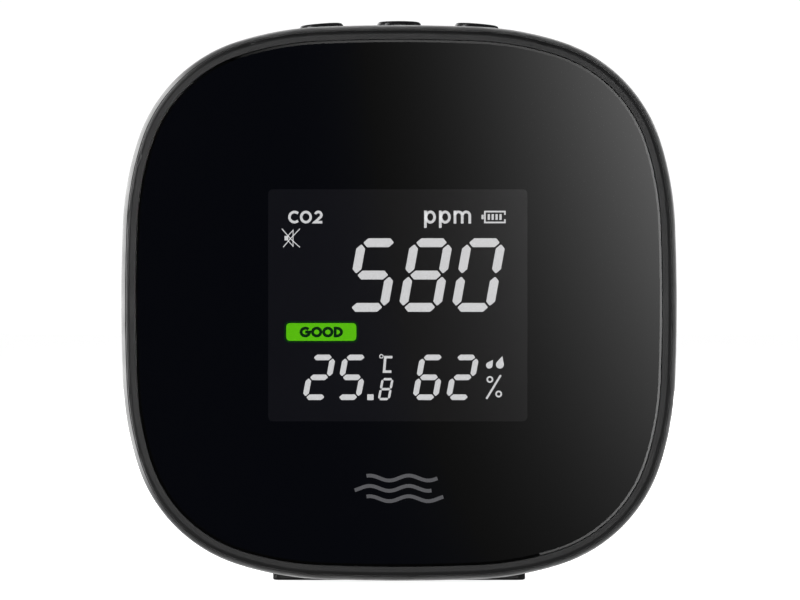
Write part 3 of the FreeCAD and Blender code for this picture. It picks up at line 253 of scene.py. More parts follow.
def clear_plastic(name, colour, roughness=0.05):
    """Clear or tinted glass, film or acrylic, with the faintest waviness."""
    surface = Surface(name, colour, roughness, Transmission_Weight=1.0, IOR=1.5)
    surface.relief(surface.noise(8 * MM), 0.002 * MM)
    surface.uneven(6 * MM, 0.02)
    return surface


def light_guide():
    """Clear acrylic with a grid of printed dots."""
    surface = clear_plastic("LightGuide", (0.93, 0.96, 0.96), 0.08)
    dots = surface.levels(surface.cells(0.8 * MM), 0.2, 0.3, 1, 0)
    return surface.relief(dots, 0.01 * MM)


def rubber(name, colour, roughness=0.75):
    """Matt rubber, foam or tape that holds a little dust."""
    surface = moulded(name, colour, roughness, 0.35 * MM, 0.015 * MM)
    dust = surface.levels(surface.noise(1.2 * MM, 5.0), 0.6, 0.8, 0, 0.25)
    return surface.paint(dust, (0.12, 0.12, 0.115))


def elastomer():
    """Fine layers of conductive and insulating rubber."""
    surface = Surface("ZebraElastomer", (0.62, 0.42, 0.45), 0.6)
    surface.paint(surface.levels(surface.bands(0.1 * MM), 0.45, 0.55), (0.03, 0.03, 0.03))
    return surface.relief(surface.bands(0.1 * MM), 0.01 * MM)


def circuit_board():
    """Green solder mask over copper runs, with plated through holes."""
    surface = Surface("CircuitBoard", (0.012, 0.12, 0.055), 0.35, Coat_Weight=0.4)
    runs = surface.add("TexBrick", {"offset": 0.35, "squash": 1.6, "squash_frequency": 3},
                       Vector=surface.stretched((1, 1, 1), (math.pi / 2, 0, 0)), Scale=1 / (6 * MM),
                       Mortar_Size=0.03, Mortar_Smooth=0.1, Brick_Width=0.7, Row_Height=0.2)
    lines = runs.outputs["Fac"]
    surface.paint(lines, (0.03, 0.2, 0.09))
    holes = surface.levels(surface.cells(2.2 * MM), 0.09, 0.12, 1, 0)
    surface.paint(holes, (0.6, 0.5, 0.25))
    surface.relief(lines, 0.03 * MM)
    surface.relief(surface.noise(0.3 * MM), 0.004 * MM)
    return surface.uneven(3 * MM, 0.06)


def chip_epoxy(name, colour=(0.022, 0.022, 0.024)):
    """Dull moulded epoxy with pale specks of its filler."""
    surface = moulded(name, colour, 0.55, 0.12 * MM, 0.01 * MM)
    return surface.paint(surface.levels(surface.noise(0.4 * MM, 4.0), 0.6, 0.75, 0, 0.15), (0.09, 0.09, 0.09))


def ceramic():
    """Small fired parts with tinned ends."""
    surface = Surface("CeramicParts", (0.34, 0.24, 0.16), 0.4)
    surface.mottle(0.5 * MM, 0.15)
    return surface.relief(surface.noise(0.1 * MM), 0.004 * MM)


def membrane():
    """Porous white filter sheet."""
    surface = Surface("FilterMembrane", (0.84, 0.84, 0.82), 0.85, Sheen_Weight=0.3)
    fibres = surface.noise(0.15 * MM, 6.0, surface.stretched((1, 1, 3), (0, 0.6, 0)))
    surface.paint(surface.levels(fibres, 0.5, 0.7, 0, 0.4), (0.66, 0.66, 0.64))
    return surface.relief(fibres, 0.03 * MM)


def woven_mesh():
    """Black dust screen, woven."""
    surface = Surface("DustScreen", (0.012, 0.012, 0.012), 0.6, Sheen_Weight=0.2)
    across, up = surface.bands(0.25 * MM, "X"), surface.bands(0.25 * MM, "Z")
    weave = surface.math("MAXIMUM", across, up)
    surface.paint(surface.levels(weave, 0.5, 0.9), (0.045, 0.045, 0.045))
    return surface.relief(weave, 0.06 * MM)


def cell_foil():
    """Creased laminate of a pouch cell."""
    surface = Surface("CellFoil", (0.5, 0.5, 0.52), 0.32, Metallic=0.85)
    surface.relief(surface.noise(9 * MM, 4.0), 0.15 * MM)
    surface.relief(surface.cells(5 * MM, feature="SMOOTH_F1"), 0.05 * MM)
    return surface.uneven(4 * MM, 0.08)


def flat_cable():
    """Grey ribbon with its conductors showing as ribs."""
    surface = Surface("FlatCable", (0.42, 0.42, 0.44), 0.45)
    ribs = surface.bands(0.63 * MM)
    surface.paint(surface.levels(ribs, 0.2, 0.05, 0, 0.6), (0.2, 0.2, 0.21))
    return surface.relief(ribs, 0.08 * MM)


def label_film():
    """Silver-grey film label with a faint brushed print."""
    surface = Surface("LabelFilm", (0.2, 0.2, 0.205), 0.45, Metallic=0.2)
    surface.relief(surface.noise(1.5 * MM, 3.0, surface.stretched((1, 1, 25))), 0.002 * MM)
    surface.mottle(5 * MM, 0.05)
    return surface.uneven(2 * MM, 0.06)


def paper_film(name, colour):
    """Thin matt sheet with a fine tooth."""
    surface = Surface(name, colour, 0.8)
    surface.relief(surface.noise(0.2 * MM, 4.0), 0.008 * MM)
    return surface.mottle(4 * MM, 0.04)


def phosphor():
    """Yellow phosphor of the backlight's lamps, unlit."""
    surface = Surface("LampPhosphor", (0.85, 0.75, 0.25), 0.4)
    surface.relief(surface.noise(0.15 * MM), 0.01 * MM)
    return surface.mottle(0.4 * MM, 0.1)


def slot_materials():
    """One finish for each of the record's material slots."""
    steel = metal("ZincedSteel", (0.56, 0.57, 0.58), 0.34)
    tin = metal("TinnedMetal", (0.66, 0.66, 0.65), 0.3)
    gold = metal("GoldPlate", (0.83, 0.6, 0.25), 0.25, (3, 3, 3))
    chip = chip_epoxy("ChipEpoxy")
    return {
        "tinted_lens": lens_glass(),
        "housing_grey": housing(),
        "button_grey": button_plastic(),
        "black_rubber": rubber("FootRubber", (0.02, 0.02, 0.02)),
        "tape": rubber("LensTape", (0.006, 0.006, 0.006), 0.6),
        "screw_steel": steel,
        "polariser_film": display_panel(),
        "display_glass": clear_plastic("DisplayGlass", (0.86, 0.92, 0.9)),
        "white_plastic": moulded("WhitePlastic", (0.78, 0.78, 0.76), 0.4),
        "white_film": paper_film("WhiteFilm", (0.88, 0.88, 0.88)),
        "green_film": clear_plastic("GreenFilm", (0.15, 0.7, 0.05)),
        "acrylic": light_guide(),
        "elastomer": elastomer(),
        "board_green": circuit_board(),
        "chip_black": chip,
        "lamp_white": phosphor(),
        "tinned_metal": tin,
        "connector_cream": moulded("ConnectorNylon", (0.72, 0.68, 0.55), 0.5),
        "gold_pins": gold,
        "ceramic_parts": ceramic(),
        "sounder_black": chip_epoxy("SounderBlack", (0.015, 0.015, 0.015)),
        "chamber_gold": metal("ChamberGold", (0.8, 0.58, 0.26), 0.3, (6, 6, 6)),
        "membrane_white": membrane(),
        "mesh_black": woven_mesh(),
        "cell_foil": cell_foil(),
        "foam_tape": rubber("FoamTape", (0.05, 0.05, 0.05), 0.9),
        "wire_red": rubber("WireInsulation", (0.5, 0.015, 0.012), 0.4),
        "ribbon_grey": flat_cable(),
        "label_silver": label_film(),
    }


def dress_nodes(finishes):
    """Give every CAD node its slot's finish and smooth shading across its gentle edges."""
    for entry in frame["record"]["subparts"]:
        node = nodes[entry["node"]]
        node.data.materials.clear()
        node.data.materials.append(finishes[entry["material_slot"]].material)
        for face in node.data.polygons:
            face.use_smooth = True
        node.data.set_sharp_from_angle(angle=math.radians(25))


# Flat pieces: outlines in millimetres across and up, made into thin solid plates.

def arc(centre, radius, start, end, steps=12):
    """Points round a centre from one angle to another, in degrees."""
    angles = [math.radians(start + (end - start) * step / steps) for step in range(steps + 1)]
    return [(centre[0] + radius * math.cos(a), centre[1] + radius * math.sin(a)) for a in angles]


def circle(centre, radius, steps=28):
    """A closed outline: the arc of a whole turn without its repeated last point."""
    return arc(centre, radius, 0, 360, steps)[:-1]


def squeezed(outline, centre, half_width, half_height):
    """An outline of unit size, stretched to an oval's size and moved to its centre."""
    return [(centre[0] + half_width * u, centre[1] + half_height * w) for u, w in outline]


def rounded(corners, radius, steps=4):
    """A closed outline with its corners rounded as far as its sides allow."""
    points = []
    count = len(corners)
    for index, corner in enumerate(corners):
        here = Vector(corner)
        before, after = Vector(corners[index - 1]) - here, Vector(corners[(index + 1) % count]) - here
        half = before.angle(after) / 2
        reach = min(radius / math.tan(half), before.length * 0.45, after.length * 0.45)
        start, end = here + before.normalized() * reach, here + after.normalized() * reach
        for step in range(steps + 1):
            t = step / steps
            points.append(tuple(start * (1 - t) ** 2 + here * 2 * t * (1 - t) + end * t ** 2))
    return points


def rectangle(left, low, right, high):
    """A closed outline between two corners."""
    return [(left, low), (right, low), (right, high), (left, high)]


def stroke(points, width, closed=False):
    """A line of constant width through points, with mitred joints: one outline, or two if closed."""
    line = [Vector(point) for point in points]
    count = len(line)
    sides = ([], [])
    for index, here in enumerate(line):
        before = line[index - 1] if closed or index else None
        after = line[(index + 1) % count] if closed or index < count - 1 else None
        first = (here - before).normalized() if before is not None else (after - here).normalized()
        second = (after - here).normalized() if after is not None else first
        normal = Vector((-first.y - second.y, first.x + second.x)).normalized()
        across = normal * (width / 2 / max(0.3, normal.dot(Vector((-first.y, first.x)))))
        sides[0].append(tuple(here + across))
        sides[1].append(tuple(here - across))
    if closed:
        return sides
    return [sides[0] + sides[1][::-1]]


class Plate:
    """A flat piece facing -Y, gathered from outlines about a centre and given a thickness."""

    def __init__(self, name, centre, front, thickness):
        self.name = name
        self.centre = centre
        self.front = front
        self.back = front + thickness
        self.mesh = bmesh.new()

    def loop(self, outline, depth):
        """Vertices along an outline at one depth."""
        x, z = self.centre
        return [self.mesh.verts.new((x + u * MM, depth, z + w * MM)) for u, w in outline]

    def area(self, outline):
        """A solid patch inside one outline."""
        front, back = self.loop(outline, self.front), self.loop(outline, self.back)
        self.mesh.faces.new(front)
        self.mesh.faces.new(back[::-1])
        self.walls(front, back)

    def walls(self, front, back):
        """Edge faces between the front's and the back's vertices."""
        count = len(front)
        for index in range(count):
            following = (index + 1) % count
            self.mesh.faces.new((front[following], front[index], back[index], back[following]))

    def ring(self, outer, inner):
        """The patch between two outlines with the same number of points."""
        outer_front, outer_back = self.loop(outer, self.front), self.loop(outer, self.back)
        inner_front, inner_back = self.loop(inner, self.front), self.loop(inner, self.back)
        count = len(outer_front)
        for index in range(count):
            following = (index + 1) % count
            self.mesh.faces.new((outer_front[index], outer_front[following],
                                 inner_front[following], inner_front[index]))
            self.mesh.faces.new((outer_back[following], outer_back[index],
                                 inner_back[index], inner_back[following]))
        self.walls(outer_front, outer_back)
        self.walls(inner_front[::-1], inner_back[::-1])

    def line(self, points, width, closed=False):
        """A stroke of constant width."""
        outlines = stroke(points, width, closed)
        if closed:
            self.ring(*outlines)
        else:
            self.area(outlines[0])

    def finished(self, surface, slot=None):
        """Make the piece. Every plate rides on the case."""
        bmesh.ops.recalc_face_normals(self.mesh, faces=self.mesh.faces)
        finish_mesh(self.name, self.mesh, surface, CASE)


def new_object(name, mesh, surface):
    """Turn a bmesh into an object of the scene."""
    data = bpy.data.meshes.new(name)
    mesh.to_mesh(data)
    mesh.free()
    data.materials.append(surface.material)
    thing = bpy.data.objects.new(name, data)
    bpy.context.scene.collection.objects.link(thing)
    return thing


def finish_mesh(name, mesh, surface, body=CASE):
    """Turn a bmesh into a piece that rides on a body."""
    piece = new_object(name, mesh, surface)
    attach(piece, body)


# The display's marks. Places are millimetres across and up from the display's middle.

SEGMENTS = {
    "0": "abcdef", "1": "bc", "2": "abged", "3": "abgcd", "4": "fgbc",
    "5": "afgcd", "6": "afgedc", "7": "abc", "8": "abcdefg", "9": "abcdfg",
}
# Sizes of digit: half width, half height, segment thickness, gap at a joint, slant and corner radius.
LARGE = (2.86, 5.48, 1.5, 0.25, 0.182, 0.24)
MEDIUM = (1.7, 3.37, 0.95, 0.16, 0.188, 0.2)
SMALL = (0.83, 1.68, 0.4, 0.06, 0.19, 0.08)
TOP_ROW, LOW_ROW = 14.95, -12.2
UNIT_CIRCLE = circle((0, 0), 1)


def segment_outline(name, half_width, half_height, thickness, gap):
    """One of the seven segments as a six-sided bar with mitred ends, upright and centred on its digit."""
    centres = {
        "a": (0, half_height, True), "g": (0, 0, True), "d": (0, -half_height, True),
        "f": (-half_width, half_height / 2, False), "b": (half_width, half_height / 2, False),
        "e": (-half_width, -half_height / 2, False), "c": (half_width, -half_height / 2, False),
    }
    x, y, level = centres[name]
    tip = (half_width if level else half_height / 2) - gap
    half = thickness / 2
    slope = tip - half
    bar = [(-tip, 0), (-slope, -half), (slope, -half), (tip, 0), (slope, half), (-slope, half)]
    if level:
        return [(x + u, y + w) for u, w in bar]
    return [(x + w, y + u) for u, w in bar]


def draw_digit(plate, digit, centre, size):
    """A slanted seven-segment digit."""
    half_width, half_height, thickness, gap, slant, corner = size
    for name in SEGMENTS[digit]:
        outline = segment_outline(name, half_width, half_height, thickness, gap)
        slanted = [(centre[0] + u + slant * w, centre[1] + w) for u, w in outline]
        plate.area(rounded(slanted, corner))


def display_plate(name):
    """Marks lie on the display cell's front."""
    return Plate(name, (DISPLAY_X, DISPLAY_Z), DISPLAY_FRONT - 0.02 * MM, 0.03 * MM)


def gas_reading(surface):
    """The large reading, in parts per million."""
    plate = display_plate("gas_reading")
    pitch, first, level = 8.96, -4.24, 5.13
    for place, digit in enumerate("580"):
        draw_digit(plate, digit, (first + place * pitch, level), LARGE)
    plate.finished(surface)


def temperature_reading(surface):
    """Two digits, a point and a small tenth."""
    plate = display_plate("temperature_reading")
    for digit, across in (("2", -13.34), ("5", -7.79)):
        draw_digit(plate, digit, (across, LOW_ROW), MEDIUM)
    draw_digit(plate, "8", (-2.05, -14.2), SMALL)
    plate.area(rounded(rectangle(-5.18, -16.06, -4.1, -15.08), 0.12))
    plate.finished(surface)


def humidity_reading(surface):
    """Two digits."""
    plate = display_plate("humidity_reading")
    for digit, across in (("6", 5.28), ("2", 10.97)):
        draw_digit(plate, digit, (across, LOW_ROW), MEDIUM)
    plate.finished(surface)


def degree_mark(surface):
    """Small ring and the temperature unit's letter in straight strokes."""
    plate = display_plate("degree_mark")
    plate.line(circle((-2.78, -8.64), 0.29, 20), 0.16, closed=True)
    top, foot = -8.78, -11.23
    plate.line([(-0.92, top), (-2.12, top), (-2.33, foot), (-1.08, foot)], 0.43)
    plate.finished(surface)


def percent_mark(surface):
    """Two small rings and a slanting stroke."""
    plate = display_plate("percent_mark")
    for centre in ((15.6, -12.56), (17.09, -15.03)):
        plate.line(circle(centre, 0.44, 24), 0.27, closed=True)
    plate.line([(15.02, -15.84), (17.44, -11.83)], 0.34)
    plate.finished(surface)


def droplet(centre, radius, tip):
    """A drop: a round body drawn out to a tip."""
    lean = math.degrees(math.atan2(tip[1] - centre[1], tip[0] - centre[0]))
    return arc(centre, radius, lean + 62, lean + 298, 20) + [tip]


def humidity_mark(surface):
    """Two drops."""
    plate = display_plate("humidity_mark")
    plate.area(droplet((15.5, -10.16), 0.55, (16.12, -9.25)))
    plate.area(droplet((17.3, -10.04), 0.67, (17.72, -8.6)))
    plate.finished(surface)


def gas_mark(surface):
    """Chemical sign of the gas, above the reading."""
    plate = display_plate("gas_mark")
    width, half = 0.43, 0.86
    plate.line(arc((-17.5, TOP_ROW), half, 46, 314, 20), width)
    plate.line(squeezed(UNIT_CIRCLE, (-15.57, TOP_ROW), 0.8, half), width, closed=True)
    top = arc((-13.47, TOP_ROW + 0.36), 0.52, 165, -40, 12)
    plate.line(top + [(-14.05, TOP_ROW - half), (-12.8, TOP_ROW - half)], width)
    plate.finished(surface)


def unit_mark(surface):
    """Parts per million, in plain round strokes."""
    plate = display_plate("unit_mark")
    width, half, tail, base, high = 0.45, 0.88, 13.12, 13.85, 16.05
    for left in (4.68, 7.2):
        plate.line([(left, tail), (left, high)], width)
        plate.line(squeezed(UNIT_CIRCLE, (left + 0.83, TOP_ROW), 0.72, half), width, closed=True)
    plate.line([(9.68, base), (9.68, high)], width)
    for left in (9.68, 10.96):
        arch = arc((left + 0.62, high - 0.83), 0.61, 170, 0, 12)
        plate.line(arch + [(left + 1.23, base)], width)
    plate.finished(surface)


def battery_mark(surface):
    """Battery, open towards its four bars' end, with its pole at the other."""
    plate = display_plate("battery_mark")
    left, right, low, high, lip = 14.75, 18.14, 14.04, 15.88, 0.55
    plate.line([(right, high - lip), (right, high), (left, high), (left, low), (right, low),
                (right, low + lip)], 0.27)
    plate.area(rectangle(14.18, 14.6, 14.55, 15.34))
    first, pitch, half = 15.42, 0.66, 0.19
    for bar in range(4):
        centre = first + pitch * bar
        plate.area(rectangle(centre - half, 14.48, centre + half, 15.46))
    plate.finished(surface)


def mute_mark(surface):
    """Small loudspeaker, crossed out."""
    plate = display_plate("mute_mark")
    plate.area(rectangle(-19.2, 11.0, -18.68, 11.76))
    cone = [(-18.62, 11.78), (-17.75, 12.72), (-17.75, 10.02), (-18.62, 10.98)]
    plate.line(cone, 0.14, closed=True)
    plate.line([(-19.65, 12.98), (-18.2, 11.3), (-16.58, 9.82)], 0.15)
    plate.line([(-16.58, 12.98), (-18.2, 11.3), (-19.42, 9.84)], 0.15)
    plate.finished(surface)


def status_bar(green, dark):
    """Lit bar with a dark edge and a plain word cut out of its light."""
    halo = display_plate("status_bar_edge")
    outer, inner = (rounded(rectangle(-s - 12.97, -h - 4.52, s - 12.97, h - 4.52), r, 6)
                    for s, h, r in ((6.28, 1.84, 1.0), (5.94, 1.5, 0.72)))
    halo.ring(outer, inner)
    halo.finished(dark)
    bar = display_plate("status_bar")
    bar.area(inner)
    bar.finished(green)
    word = Plate("status_word", (DISPLAY_X, DISPLAY_Z), DISPLAY_FRONT - 0.03 * MM, 0.01 * MM)
    width, middle, half = 0.5, -4.53, 0.66
    curve = squeezed(arc((0, 0), 1, 42, 360, 20), (-15.68, middle), 0.72, half)
    word.line(curve + [(-15.7, middle)], width)
    for across in (-13.75, -11.86):
        word.line(squeezed(UNIT_CIRCLE, (across, middle), 0.7, half), width, closed=True)
    bow = squeezed(arc((0, 0), 1, 90, -90, 16), (-10.4, middle), 0.86, half)
    stem = -10.62
    word.line([(stem, middle + half)] + bow + [(stem, middle - half)], width, closed=True)
    word.finished(dark)


def display_marks():
    """All the lit marks in front of the display."""
    white = lit_segment("LitSegment", (0.94, 0.94, 0.945), 1.42)
    green = lit_segment("LitGreen", (0.145, 0.72, 0.0), 1.45)
    dark = lit_segment("DimGreen", (0.0, 0.035, 0.0), 1.0)
    for make in (gas_reading, temperature_reading, humidity_reading, degree_mark, percent_mark,
                 humidity_mark, gas_mark, unit_mark, battery_mark, mute_mark):
        make(white)
    status_bar(green, dark)


# The lens's printed back.

def lens_mask():
    """Black print on the lens's back, with a clear window for the display."""
    back, margin, gap, thickness = LENS_HIGH.y, 0.12 * MM, 0.03 * MM, 0.02 * MM
    rim = [v.co for v in nodes["front_lens"].data.vertices if abs(v.co.y - back) < 0.01 * MM]
    centre = Vector((0, 0, LENS_MIDDLE_Z))
    spokes = {round(math.atan2(p.z - centre.z, p.x), 4): p for p in rim}
    inset = 1 - margin / max(p.x for p in rim)
    outer = [(p.x * inset, back - gap, centre.z + (p.z - centre.z) * inset)
             for _, p in sorted(spokes.items())]
    window = rounded(rectangle(-21.95, -19.65, 21.95, 19.65), 0.9, 6)
    inner = [(DISPLAY_X + u * MM, back - gap, DISPLAY_Z + w * MM) for u, w in window]
    mesh = bmesh.new()
    edges = []
    for loop in (outer, inner):
        verts = [mesh.verts.new(point) for point in loop]
        edges += [mesh.edges.new((verts[index - 1], verts[index])) for index in range(len(verts))]
    filled = bmesh.ops.triangle_fill(mesh, edges=edges, use_beauty=True, normal=(0, -1, 0))
    faces = [part for part in filled["geom"] if isinstance(part, bmesh.types.BMFace)]
    thick = bmesh.ops.extrude_face_region(mesh, geom=faces)
    moved = [part for part in thick["geom"] if isinstance(part, bmesh.types.BMVert)]
    bmesh.ops.translate(mesh, verts=moved, vec=(0, thickness, 0))
    bmesh.ops.recalc_face_normals(mesh, faces=mesh.faces)
    finish_mesh("lens_mask", mesh, printed_black())


def air_mark():
    """Three plain waves for moving air, printed on the lens's back below the display; the print's grey glows,
    as painted light.
    """
    plate = Plate("air_mark", (0, LENS_MIDDLE_Z - 31.4 * MM), LENS_HIGH.y - 0.045 * MM, 0.01 * MM)
    steps, pitch, swing, waves = 48, 1.75, 0.42, 0.95
    for row, (start, end) in enumerate(((-5.5, 6.5), (-7.5, 5.5), (-5.5, 7.5))):
        across = [start + (end - start) * step / steps for step in range(steps + 1)]
        plate.line([(u, pitch - pitch * row + swing * math.sin(u * waves)) for u in across], 0.62)
    # The grey print gives off light of its own: painted light in place of the lamps' light on it.
    plate.finished(lit_segment("GreyPrintPaintedGlow", (0.14, 0.14, 0.148), 1.0))


# Marks on the buttons' tops: power, display mode and sounder.

POWER_MARK = (
    stroke(arc((0, 0), 1.15, 120, 420, 24), 0.3)[0],
    stroke([(0, 0.4), (0, 1.7)], 0.3)[0],
)
MODE_MARK = (
    stroke(arc((0, 0), 1.2, 20, 160, 14), 0.3)[0],
    stroke(arc((0, 0), 1.2, 200, 340, 14), 0.3)[0],
    circle((0, 0), 0.42, 18),
)
SOUNDER_MARK = (
    [(-1.5, -0.4), (-0.9, -0.4), (-0.1, -1.2), (-0.1, 1.2), (-0.9, 0.4), (-1.5, 0.4)],
    stroke(arc((0, 0), 0.75, -50, 50, 10), 0.28)[0],
    stroke(arc((0, 0), 1.45, -50, 50, 12), 0.28)[0],
)


def top_of(name, x, y):
    """Height of a node's upper surface at a place."""
    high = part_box(name)[1].z
    hit, place, _, _ = nodes[name].ray_cast(Vector((x, y, high + 5 * MM)), Vector((0, 0, -1)))
    return place.z if hit else high


def button_mark(side, outlines, surface):
    """A sign printed on a button's sloping top, which rides on that button."""
    button = f"{side}_button"
    low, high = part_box(button)
    middle = (low.x + high.x) / 2
    proud, sunk = 0.012 * MM, 0.01 * MM
    mesh = bmesh.new()
    for outline in outlines:
        upper, lower = [], []
        for u, w in outline:
            x, y = middle + u * MM, w * MM
            z = top_of(button, x, y)
            upper.append(mesh.verts.new((x, y, z + proud)))
            lower.append(mesh.verts.new((x, y, z - sunk)))
        mesh.faces.new(upper)
        mesh.faces.new(lower[::-1])
        for index in range(len(upper)):
            mesh.faces.new((upper[index - 1], lower[index - 1], lower[index], upper[index]))
    bmesh.ops.recalc_face_normals(mesh, faces=mesh.faces)
    finish_mesh(f"{button}_mark", mesh, surface, button)


def button_marks():
    """One printed sign for each button."""
    surface = Surface("ButtonPrint", (0.42, 0.42, 0.43), 0.5)
    surface.mottle(0.6 * MM, 0.1)
    for side, outlines in zip(SIDES, (POWER_MARK, MODE_MARK, SOUNDER_MARK)):
        button_mark(side, outlines, surface)


# Details at the back and inside. Outlines at the back are given as seen from the front.

def middle_of(node):
    """Middle of a node's box, across and up."""
    low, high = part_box(node)
    return ((low.x + high.x) / 2, (low.z + high.z) / 2)


def label_print():
    """Border, plain rules and two general signs on the blank label: direct current and indoor use."""
    plate = Plate("label_print", middle_of("rating_label"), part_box("rating_label")[1].y, 0.02 * MM)
    plate.line(rounded(rectangle(-16.2, -7.2, 16.2, 7.2), 0.8), 0.25, closed=True)
    for row in range(4):
        level = 4.9 - 1.9 * row
        plate.line([(15.0, level), (2.0 + 1.5 * (row % 2), level)], 0.28)
    plate.line([(13.8, -5.2), (4.2, -5.2)], 1.1)
    plate.line([(-11.6, 4.6), (-6.4, 4.6)], 0.35)
    for dash in range(3):
        start = -11.6 + 1.9 * dash
        plate.line([(start, 3.7), (start + 1.4, 3.7)], 0.35)
    wall, eave, foot = 2.6, 3.6, -5.4
    house = [(-wall, foot), (-wall, -1.6), (-eave, -1.6), (0, 1.4), (eave, -1.6), (wall, -1.6), (wall, foot)]
    plate.line([(u - 9.0, w) for u, w in house], 0.4, closed=True)
    plate.finished(chip_epoxy("LabelInk", (0.05, 0.05, 0.05)), slot="tape")


def block(mesh, low, high):
    """One contact: a small closed block between two corners."""
    corners = [(x, y, z) for x in (low[0], high[0]) for y in (low[1], high[1]) for z in (low[2], high[2])]
    bmesh.ops.convex_hull(mesh, input=[mesh.verts.new(corner) for corner in corners])


def usb_contacts(gold):
    """Gold contacts on both faces of the socket's tongue."""
    tongue = nodes["usb_tongue"]
    low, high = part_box("usb_tongue")
    middle = (low.z + high.z) / 2
    pitch, half_width, length, tip = 0.5 * MM, 0.12 * MM, 2.4 * MM, high.y - 0.5 * MM
    mesh = bmesh.new()
    for index in range(12):
        x = (index - 5.5) * pitch
        for way in (1, -1):
            above = Vector((x, tip - length / 2, middle + way * 5 * MM))
            hit, place, _, _ = tongue.ray_cast(above, Vector((0, 0, -way)))
            if hit:
                block(mesh, (x - half_width, tip - length, place.z - 0.02 * MM),
                      (x + half_width, tip, place.z + 0.02 * MM))
    finish_mesh("usb_contacts", mesh, gold)


def leg_profile(reach, board):
    """Side outline of a gull-wing leg: distance from the chip's middle, and height above the board's back."""
    shoulder, thick = 0.62, 0.12
    outline = [(-0.1, shoulder), (0.3, shoulder), (0.42, thick), (0.95, thick), (0.95, 0.01), (0.32, 0.01),
               (0.2, shoulder - thick), (-0.1, shoulder - thick)]
    return [(reach + out * MM, board + height * MM) for out, height in outline]


def chip_legs(name, count, tin):
    """Bent legs along the four sides of a chip that lies on the main board."""
    low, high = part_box(name)
    x, z = middle_of(name)
    middle = Vector((x, 0, z))
    profile = leg_profile((high.x - low.x) / 2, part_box("main_board")[1].y)
    pitch, half_width = 0.8 * MM, 0.16 * MM
    mesh = bmesh.new()
    for turn in range(4):
        way, side = math.cos(turn * math.pi / 2), math.sin(turn * math.pi / 2)
        out, along = Vector((way, 0, side)), Vector((-side, 0, way))
        for index in range(count):
            place = middle + along * (index - (count - 1) / 2) * pitch
            first, second = ([mesh.verts.new(place + out * r + along * edge + Vector((0, y, 0)))
                              for r, y in profile] for edge in (-half_width, half_width))
            mesh.faces.new(first)
            mesh.faces.new(second[::-1])
            for step in range(len(profile)):
                mesh.faces.new((first[step - 1], first[step], second[step], second[step - 1]))
    bmesh.ops.recalc_face_normals(mesh, faces=mesh.faces)
    finish_mesh(f"{name}_legs", mesh, tin)


def buzzer_vent():
    """Raised ring round the buzzer's sound hole on its back face, with a dark disc inside it as the hole's
    painted shade.
    """
    plate = Plate("buzzer_vent", middle_of("buzzer"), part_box("buzzer")[1].y, 0.06 * MM)
    plate.line(circle((0, 0), 1.6, 32), 0.5, closed=True)
    # A flat dark disc as the sound hole's painted shade.
    plate.area(circle((0, 0), 0.9, 24))
    plate.finished(chip_epoxy("VentShadow", (0.006, 0.006, 0.006)), slot="sounder_black")


def hidden_details():
    usb_contacts(metal("ContactGold", (0.8, 0.58, 0.24), 0.25, (3, 3, 3)))
    tin = metal("LegTin", (0.62, 0.62, 0.6), 0.32)
    chip_legs("controller_chip", 11, tin)
    chip_legs("display_driver_chip", 13, tin)
    buzzer_vent()
    label_print()


# The stage, the lights and the camera.

CAMERA_PLACE = Vector((0.17 * MM, LENS_LOW.y - 800 * MM, 48.15 * MM))
# The world's brightness: the camera's own background, behind, at the left, and everywhere else.
SEEN_WHITE = 1.05
BACKDROP = 2.3
LEFT_WALL = 2.3
WORLD_DIM = 0.015
# The graded card's brightness at the lens's upper right, beyond its least.
CARD_PEAK = 0.95
CARD_BASE = 0.03
# The lights' power in watts.
FRONT_POWER = 9.0
SHEEN_POWER = 1.0
STRIP_POWER = 4.0
TOP_POWER = 2.2
BACK_POWER = 24.0
SIDE_POWER = 25.0
# What the lights are aimed at: the middle of the object.
AIM = Vector((0, 0, 0.048))


def camera():
    """Level camera, square to the lens, far enough for the slight perspective of a long lens."""
    data = bpy.data.cameras.new("camera")
    data.lens = 212.8
    data.sensor_width = 36
    data.clip_start, data.clip_end = 0.05, 50
    thing = bpy.data.objects.new("camera", data)
    thing.location = CAMERA_PLACE
    thing.rotation_euler = (math.radians(90), 0, 0)
    bpy.context.scene.collection.objects.link(thing)
    bpy.context.scene.camera = thing


def world_light():
    """White backdrop, bright behind the object and to its left, dim in front, so the edges catch light."""
    world = bpy.data.worlds.new("Studio")
    bpy.context.scene.world = world
    world.use_nodes = True
    tree = world.node_tree
    tree.nodes.clear()

    def smooth(value, low, high, to_low=0.0, to_high=1.0):
        node = add_node(tree, "MapRange", {"interpolation_type": "SMOOTHSTEP"}, Value=value, From_Min=low,
                        From_Max=high, To_Min=to_low, To_Max=to_high)
        return node.outputs["Result"]

    def combined(operation, first, second):
        return add_node(tree, "Math", {"operation": operation}, _0=first, _1=second).outputs[0]

    direction = add_node(tree, "TexCoord").outputs["Generated"]
    parts = add_node(tree, "SeparateXYZ", Vector=direction).outputs
    outside, inside = math.cos(math.radians(27)), math.cos(math.radians(7))
    backdrop = smooth(parts["Y"], outside, inside, 0.0, BACKDROP)
    leftward = combined("MULTIPLY", parts["X"], -1.0)
    steepness = combined("DIVIDE", parts["Z"], combined("MAXIMUM", leftward, 0.001))
    wall = combined("MULTIPLY", smooth(steepness, -0.6, -0.35), smooth(steepness, 1.25, 0.9))
    wall = combined("MULTIPLY", wall, smooth(leftward, 0.0, 0.12))
    wall = combined("MULTIPLY", wall, smooth(parts["Y"], 0.45, 0.75, 0.0, LEFT_WALL))
    strength = combined("MAXIMUM", combined("MAXIMUM", backdrop, wall), WORLD_DIM)
    final = add_node(tree, "Mix", {"data_type": "FLOAT"},
                     Factor=add_node(tree, "LightPath").outputs["Is Camera Ray"])
    tree.links.new(strength, final.inputs[2])
    final.inputs[3].default_value = SEEN_WHITE
    background = add_node(tree, "Background", Color=(1, 1, 1, 1), Strength=final.outputs[0])
    output = add_node(tree, "OutputWorld")
    tree.links.new(background.outputs[0], output.inputs["Surface"])


